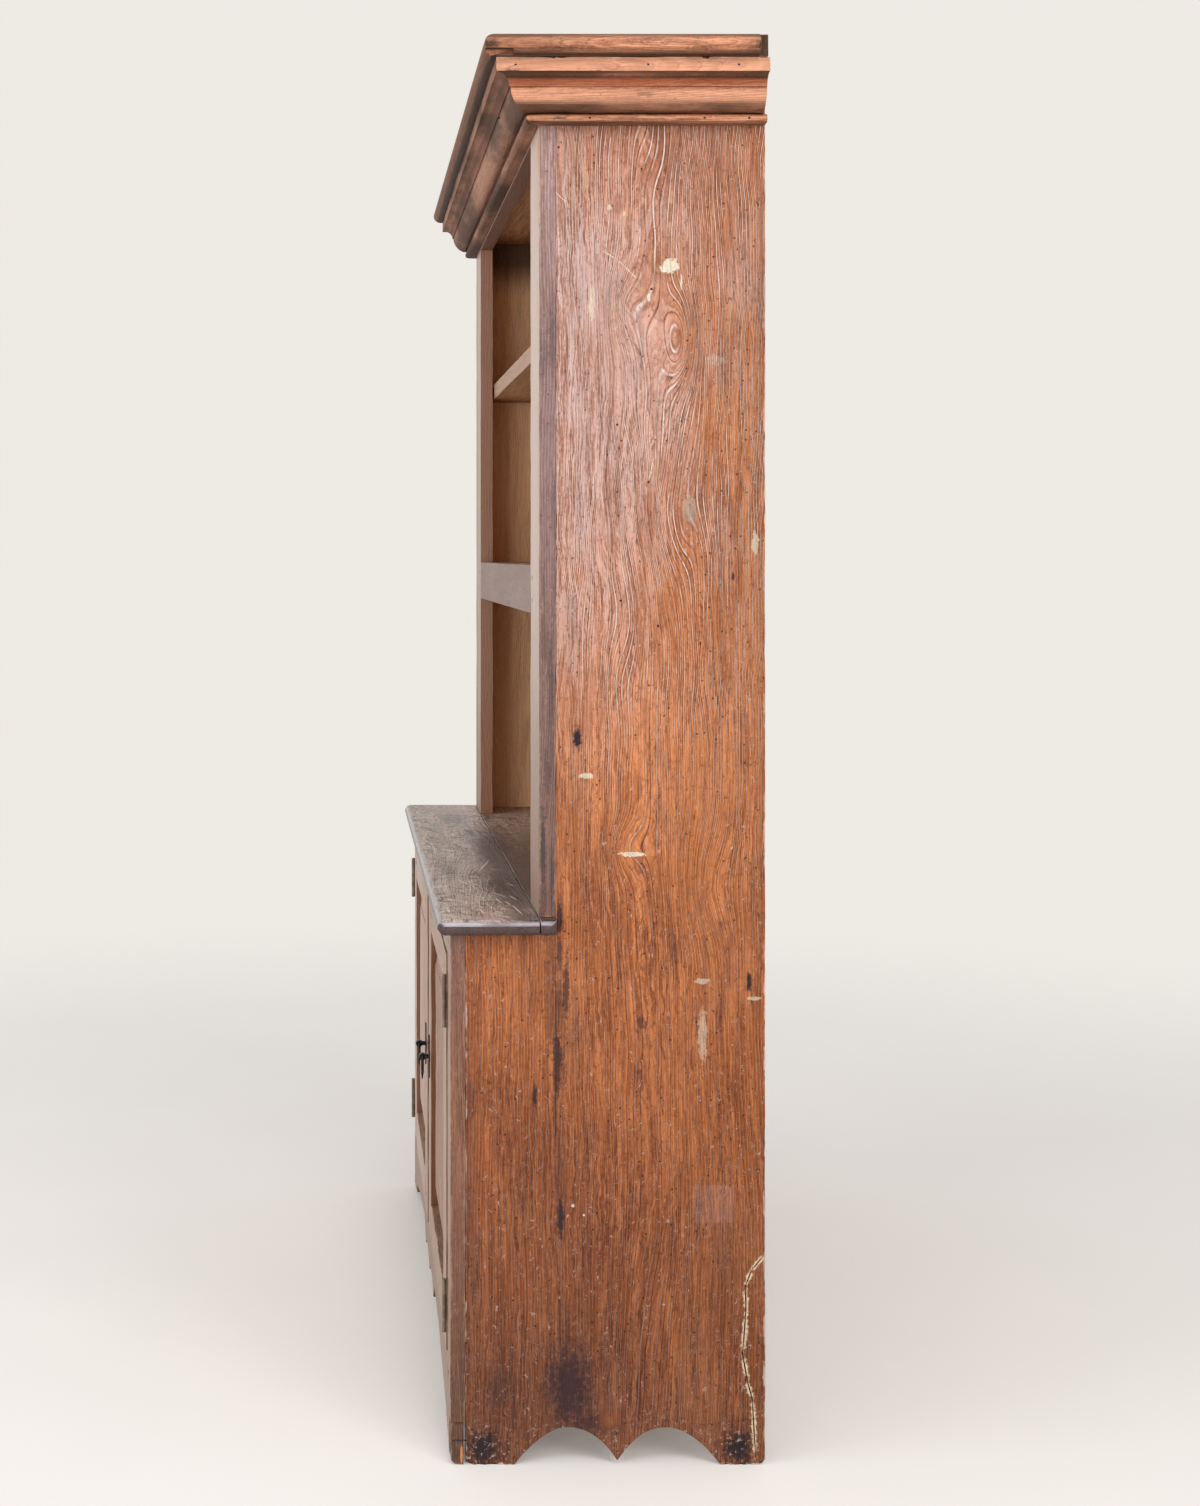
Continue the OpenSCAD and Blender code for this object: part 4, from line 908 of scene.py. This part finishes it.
def rough_lump(built, place, size, source):
    """Adds a rough closed lump, the shape that a chip leaves when it breaks off."""
    shift = Vector([source.uniform(0, 50) for _ in range(3)])
    for v in bmesh.ops.create_icosphere(built, subdivisions=2, radius=1.0)["verts"]:
        swollen = v.co * (1.0 + 0.4 * noise.noise(v.co * 1.4 + shift))
        v.co = Vector(place) + Vector([a * b for a, b in zip(swollen, size)])


def chips_along(built, start, end, count, length, source):
    """Lumps of different sizes at uneven places along an edge. Length is the longest chip's."""
    start, end = Vector(start), Vector(end)
    along = [abs(a) for a in (end - start).normalized()]
    for _ in range(count):
        size = source.uniform(*CHIP_SIZES)
        long = source.uniform(0.3, 1.0) * length
        sizes = [size * source.uniform(0.7, 1.2) + a * (long - size) for a in along]
        rough_lump(built, start.lerp(end, source.random()), sizes, source)


def open_crack(built):
    """A thin jagged wedge along the crack, open at the right side board's face."""
    rows = []
    for i, (y, z) in enumerate(BACK_EDGE_CRACK):
        half = CRACK_OPENING * (0.35 + 0.65 * math.sin(math.pi * (i + 0.5) / len(BACK_EDGE_CRACK))) / 2
        for side, reach in ((-half, CRACK_PROUD), (half, CRACK_PROUD), (0.0, -CRACK_DEPTH)):
            rows.append(built.verts.new((SIDE_HIGH.x + reach, y * MM + side, z * MM)))
    for i in range(0, len(rows) - 3, 3):
        for a, b in ((0, 1), (1, 2), (2, 0)):
            built.faces.new((rows[i + a], rows[i + b], rows[i + 3 + b], rows[i + 3 + a]))
    built.faces.new(rows[2::-1])
    built.faces.new(rows[-3:])


def notch(built):
    """The square notch in the top board's lower edge, near its front end."""
    low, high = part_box("top_board")
    low, high = (high.x - 0.012, NOTCH[0] * MM, low.z - 0.002), (high.x + 0.002, NOTCH[1] * MM, low.z + 0.009)
    for v in bmesh.ops.create_cube(built, size=1.0)["verts"]:
        v.co = Vector([a + (b - a) * (c + 0.5) for a, b, c in zip(low, high, v.co)])


NOTCH = (-180, -134)
OPENINGS = {"side_right": open_crack, "top_board": notch}


def side_chips(x):
    """Chips on a side board's back edge and feet."""
    back, low, lump = SIDE_HIGH.y, 0.001, (0.006, 0.009, 0.007)
    return [((x, back, 0.03), (x, back, 1.94), 26, 0.014), ((x, -0.196, low), lump), ((x, back, low), lump),
            ((x, -0.19, low), (x, -0.13, low), 4, 0.008), ((x, 0.17, low), (x, 0.23, low), 4, 0.008)]


# The chips of each board, from its low and high corner. A row is an edge's start and end, how many chips it
# has and the longest one, or one chip's place and half sizes.
CHIPS = {
    "side_right": lambda a, b: side_chips(SIDE_HIGH.x),
    "side_left": lambda a, b: side_chips(-SIDE_HIGH.x),
    "upper_stile_right": lambda a, b: [((x, a.y, a.z + 0.01), (x, a.y, b.z - 0.02), 9, 0.012)
                                       for x in (a.x, b.x)],
    "lower_stile_right": lambda a, b: [((b.x, a.y, 0.07), (b.x, a.y, b.z - 0.02), 12, 0.012)],
    "foot_block_right": lambda a, b: [((b.x, a.y, 0.0), (0.006, 0.007, 0.006)),
                                      ((b.x, a.y, 0.01), (b.x, a.y, b.z), 4, 0.006)],
    "crown_right": lambda a, b: [((b.x, a.y + 0.03, BAND_LOW), (b.x, b.y, BAND_LOW), 16, 0.020),
                                 ((b.x, a.y + 0.03, b.z), (b.x, b.y, b.z), 6, 0.008),
                                 ((b.x, b.y, BAND_LOW), (0.005, 0.016, 0.004))],
    "crown_front": lambda a, b: [((a.x + 0.03, a.y, BAND_LOW), (b.x - 0.03, a.y, BAND_LOW), 26, 0.016)],
    "top_board": lambda a, b: [((b.x, a.y + 0.02, a.z), (b.x, b.y, a.z), 8, 0.014),
                               ((a.x + 0.02, a.y, a.z), (b.x - 0.02, a.y, a.z), 20, 0.016),
                               ((a.x + 0.02, a.y, b.z), (b.x - 0.02, a.y, b.z), 14, 0.012)],
    "counter_front_board": lambda a, b: [row for z in (a.z + 0.003, b.z - 0.003) for row in (
        ((a.x + 0.02, a.y, z), (b.x - 0.02, a.y, z), 22, 0.014),
        ((b.x, a.y + 0.02, z), (b.x, b.y, z), 4, 0.010))],
    "bead_right": lambda a, b: [((b.x, a.y + 0.01, a.z), (b.x, b.y, a.z), 9, 0.010),
                                ((b.x, a.y + 0.004, b.z), (0.004, 0.007, 0.004))],
    "upper_shelf": lambda a, b: [((a.x + 0.1, a.y, z), (b.x - 0.1, a.y, z), 10, 0.014) for z in (a.z, b.z)],
}


def cut_away(piece, name):
    """Takes a board's chips and openings out of its worn copy."""
    built = bmesh.new()
    source = random.Random(name + "_losses")
    for row in CHIPS[name](*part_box(name)):
        (rough_lump if len(row) == 2 else chips_along)(built, *row, source)
    if name in OPENINGS:
        OPENINGS[name](built)
    bmesh.ops.recalc_face_normals(built, faces=built.faces)
    cutter = add_object("losses", mesh_of(built, "losses"))
    cut = piece.modifiers.new("cut", "BOOLEAN")
    cut.object = cutter
    cut.operation = "DIFFERENCE"
    cut.solver = "EXACT"
    cut.use_self = True
    whole = bpy.context.evaluated_depsgraph_get()
    result = bpy.data.meshes.new_from_object(piece.evaluated_get(whole))
    piece.modifiers.remove(cut)
    piece.data = result
    bpy.data.objects.remove(cutter)
    result.set_sharp_from_angle(angle=KEPT_SHARP)


def worn_copy(name, material, cut=True):
    """A copy of a CAD node with worn, rounded edges, which stands for that node."""
    built = bmesh.new()
    built.from_mesh(NODES[name].data)
    bmesh.ops.remove_doubles(built, verts=built.verts, dist=SAME_POINT)
    bmesh.ops.dissolve_limit(built, angle_limit=FLAT, verts=built.verts, edges=built.edges)
    if cut:
        cut_across_grain(built, AXES_OF[name][2], *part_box(name))
        wear_edges(built, random.Random(name).uniform(0, 50))
    bmesh.ops.connect_verts_concave(built, faces=built.faces)
    bmesh.ops.bevel(built, geom=sharp_edges(built), offset=EDGE_ROUND, segments=EDGE_SEGMENTS,
                    profile=EDGE_PROFILE, affect="EDGES", clamp_overlap=True)
    piece = smooth_piece(built, name + "_worn", material)
    if name in CHIPS:
        cut_away(piece, name)
    piece.modifiers.new("normals", "WEIGHTED_NORMAL").keep_sharp = True
    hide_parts(name)
    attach(piece, BODY_OF[name])


GROW = {"side_right": side_grain, "side_left": left_side_grain, "top_board": top_board_grain}
WEAR = {"side_right": side_marks, "side_left": inside_with_painted_light, "top_board": top_board_stains,
        "rear_batten": dark_end, "upper_stile_right": upper_stile_wear, "foot_block_right": block_marks,
        "mid_rail": dull_rail, "head_rail": head_rail_wear, "upper_stile_left": far_stile_wear,
        "frame_wood": bleach_and_sheen_front, "counter_wood": counter_wear, "cornice_wood": cornice_stains,
        "door_wood": door_wear, "panel_wood": far_door_paler, "inner_wood": shelf_edge}

for node_name, slot_name in SLOT_OF.items():
    if slot_name == "iron":
        shown = NODES[node_name].data.materials
        shown.clear()
        shown.append(DULL_IRON if "hinge" in node_name else BLACK_IRON)
    else:
        wear = WEAR.get(node_name) or WEAR.get(slot_name)
        board = wood_material(node_name, FINISHES[slot_name], GROW.get(node_name), wear)
        worn_copy(node_name, board, cut=slot_name != "peg_wood")


# Small iron on the carcass

def tube(built, points, radius, sides=8):
    """A round wire through points, closed at both ends."""
    points = [Vector(point) for point in points]
    turns = [i * math.tau / sides for i in range(sides)]
    circle = [Vector((math.cos(a), math.sin(a), 0)) for a in turns]
    rings = []
    for i, point in enumerate(points):
        way = (points[min(i + 1, len(points) - 1)] - points[max(i - 1, 0)]).normalized()
        turn = way.to_track_quat("Z", "Y")
        rings.append([built.verts.new(point + turn @ spoke * radius) for spoke in circle])
    for one, two in zip(rings, rings[1:]):
        for a in range(sides):
            built.faces.new((one[a - 1], one[a], two[a], two[a - 1]))
    built.faces.new(rings[0][::-1])
    built.faces.new(rings[-1])


def iron_piece(name, build):
    """A small piece of old iron that is driven into the carcass."""
    built = bmesh.new()
    build(built)
    bmesh.ops.recalc_face_normals(built, faces=built.faces)
    piece = smooth_piece(built, name, BLACK_IRON)
    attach(piece, "carcass")


BEAD_NAILS = (-150, -18, 149, 214)
BAND_NAILS, BAND_NAIL_RISE = (-130, 60, 190), 0.013
BEAD_NAIL_SIZE, BAND_NAIL_SIZE = (0.0010, 0.0019, 0.0017), (0.0008, 0.0021, 0.0019)
STAPLE_ENDS, STAPLE_HEIGHT = (-216, -197), 35.6
WIRE_RADIUS = 0.0008


def nails_in_cornice(built):
    """Forged nail heads along the bead and the crown's band, on the right end of the cornice."""
    source = random.Random("cornice_nails")
    bead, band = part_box("bead_right"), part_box("crown_right")
    for y in BEAD_NAILS:
        place = (bead[1].x - 0.0004, y * MM, (bead[0].z + bead[1].z) / 2)
        rough_lump(built, place, BEAD_NAIL_SIZE, source)
    for y in BAND_NAILS:
        place = (band[1].x - 0.0006, y * MM, BAND_LOW + BAND_NAIL_RISE)
        rough_lump(built, place, BAND_NAIL_SIZE, source)


def staple_in_foot(built):
    """A bent wire that holds the repair block in the right front foot."""
    start, end = STAPLE_ENDS
    x, z = SIDE_HIGH.x, STAPLE_HEIGHT * MM
    points = [(x - 0.004, start * MM, z), (x + 0.0004, start * MM, z)]
    points += [(x + 0.0008, (start + (end - start) * i / 5) * MM, z + 0.0007 * math.sin(i * 1.9))
               for i in range(1, 5)]
    points += [(x + 0.0004, end * MM, z), (x - 0.004, end * MM, z)]
    tube(built, points, WIRE_RADIUS)


iron_piece("cornice_nails", nails_in_cornice)
iron_piece("foot_staple", staple_in_foot)


# Floor, background, light and camera

BACKDROP = tone(238, 234, 228)
FLOOR = tone(243, 240, 236)
FLOOR_LIFT = 0.17
FLOOR_HALF = 14.0
FLOOR_FADES = 1.6, 4.0
WORLD_TINT, WORLD_STRENGTH = (1.0, 0.985, 0.965, 1.0), 0.56


def make_floor():
    """A pale floor, seen only near the cupboard: further off, the eye sees the background through it."""
    corners = [(x * FLOOR_HALF, y * FLOOR_HALF, 0) for x, y in ((-1, -1), (1, -1), (1, 1), (-1, 1))]
    mesh = bpy.data.meshes.new("floor")
    mesh.from_pydata(corners, [], [(0, 1, 2, 3)])
    floor = add_object("floor", mesh)
    material, g, shader = material_with("floor_paper")
    g.tree.nodes.remove(shader)
    coordinates = g.coordinates()
    grain = g.noise(coordinates, scale=900.0, detail=1.0)
    cloud = g.noise(coordinates, scale=2.2, detail=3.0)
    shade = 0.97 + (grain - 0.5) * 0.05 + (cloud - 0.5) * 0.05
    colour = g.shaded(FLOOR, shade)
    seen = g.node("LightPath", {}, out=0)
    lift = g.node("Emission", {"Color": colour, "Strength": seen * FLOOR_LIFT})
    paper = g.node("AddShader", {0: g.node("BsdfDiffuse", {"Color": colour}), 1: lift})
    through = g.node("BsdfTransparent", {})
    away = g.vectors("LENGTH", coordinates, out=1)
    fade = g.step(away, *FLOOR_FADES) * seen
    shown = g.node("MixShader", {0: fade, 1: paper, 2: through})
    g.give(g.tree.nodes["Material Output"], {"Surface": shown})
    mesh.materials.append(material)


def make_world():
    """Even studio light, and a pale background for the eye and for reflections."""
    world = bpy.data.worlds.new("studio")
    bpy.context.scene.world = world
    world.use_nodes = True
    g = Graph(world.node_tree)
    camera, glossy, through = [g.node("LightPath", {}, out=f"Is {kind} Ray")
                               for kind in ("Camera", "Glossy", "Transmission")]
    seen = g.low(camera + glossy + through, 1.0)
    light = g.node("Background", {"Color": WORLD_TINT, "Strength": WORLD_STRENGTH})
    view = g.node("Background", {"Color": BACKDROP, "Strength": 1.0})
    both = g.node("MixShader", {0: seen, 1: light, 2: view})
    g.give(g.tree.nodes["World Output"], {"Surface": both})


def make_lamp(name, place, target, size, power, colour=(1.0, 1.0, 1.0)):
    data = bpy.data.lights.new(name, "AREA")
    data.shape = "DISK"
    data.size = size
    data.energy = power
    data.color = colour
    lamp = add_object(name, data)
    lamp.location = place
    lamp.rotation_euler = (Vector(target) - Vector(place)).to_track_quat("-Z", "Y").to_euler()


# The camera looks along the front, level, and its shift frames the cupboard as the photograph does
PHOTO_WIDTH, PHOTO_HEIGHT = 1200, 1506
FOCAL_PIXELS = 2046
VANISHING_POINT = (335, 555)
CAMERA_PLACE = (3.665, -0.3889, 1.334)
SENSOR = 36.0


def make_camera():
    data = bpy.data.cameras.new("camera")
    data.sensor_width = SENSOR
    data.lens = FOCAL_PIXELS / PHOTO_HEIGHT * SENSOR
    data.shift_x = (PHOTO_WIDTH / 2 - VANISHING_POINT[0]) / PHOTO_HEIGHT
    data.shift_y = (VANISHING_POINT[1] - PHOTO_HEIGHT / 2) / PHOTO_HEIGHT
    camera = add_object("camera", data)
    camera.location = CAMERA_PLACE
    camera.rotation_euler = (math.radians(90), 0.0, math.radians(90))
    bpy.context.scene.camera = camera


make_floor()
make_world()
make_lamp("key", (4.6, 2.6, 3.4), (0.3, 0.0, 1.0), 2.6, 72.0, (1.0, 0.975, 0.94))
make_lamp("top", (3.0, 0.1, 4.3), (0.4, 0.0, 1.2), 1.2, 33.0, (0.86, 0.93, 1.0))
make_lamp("side", (5.2, -3.2, 1.5), (0.0, 0.0, 1.2), 2.0, 56.0)
make_lamp("front", (3.2, -6.4, 2.6), (0.0, 0.0, 1.1), 5.0, 185.0)
make_camera()
bpy.context.scene.view_settings.view_transform = "Standard"
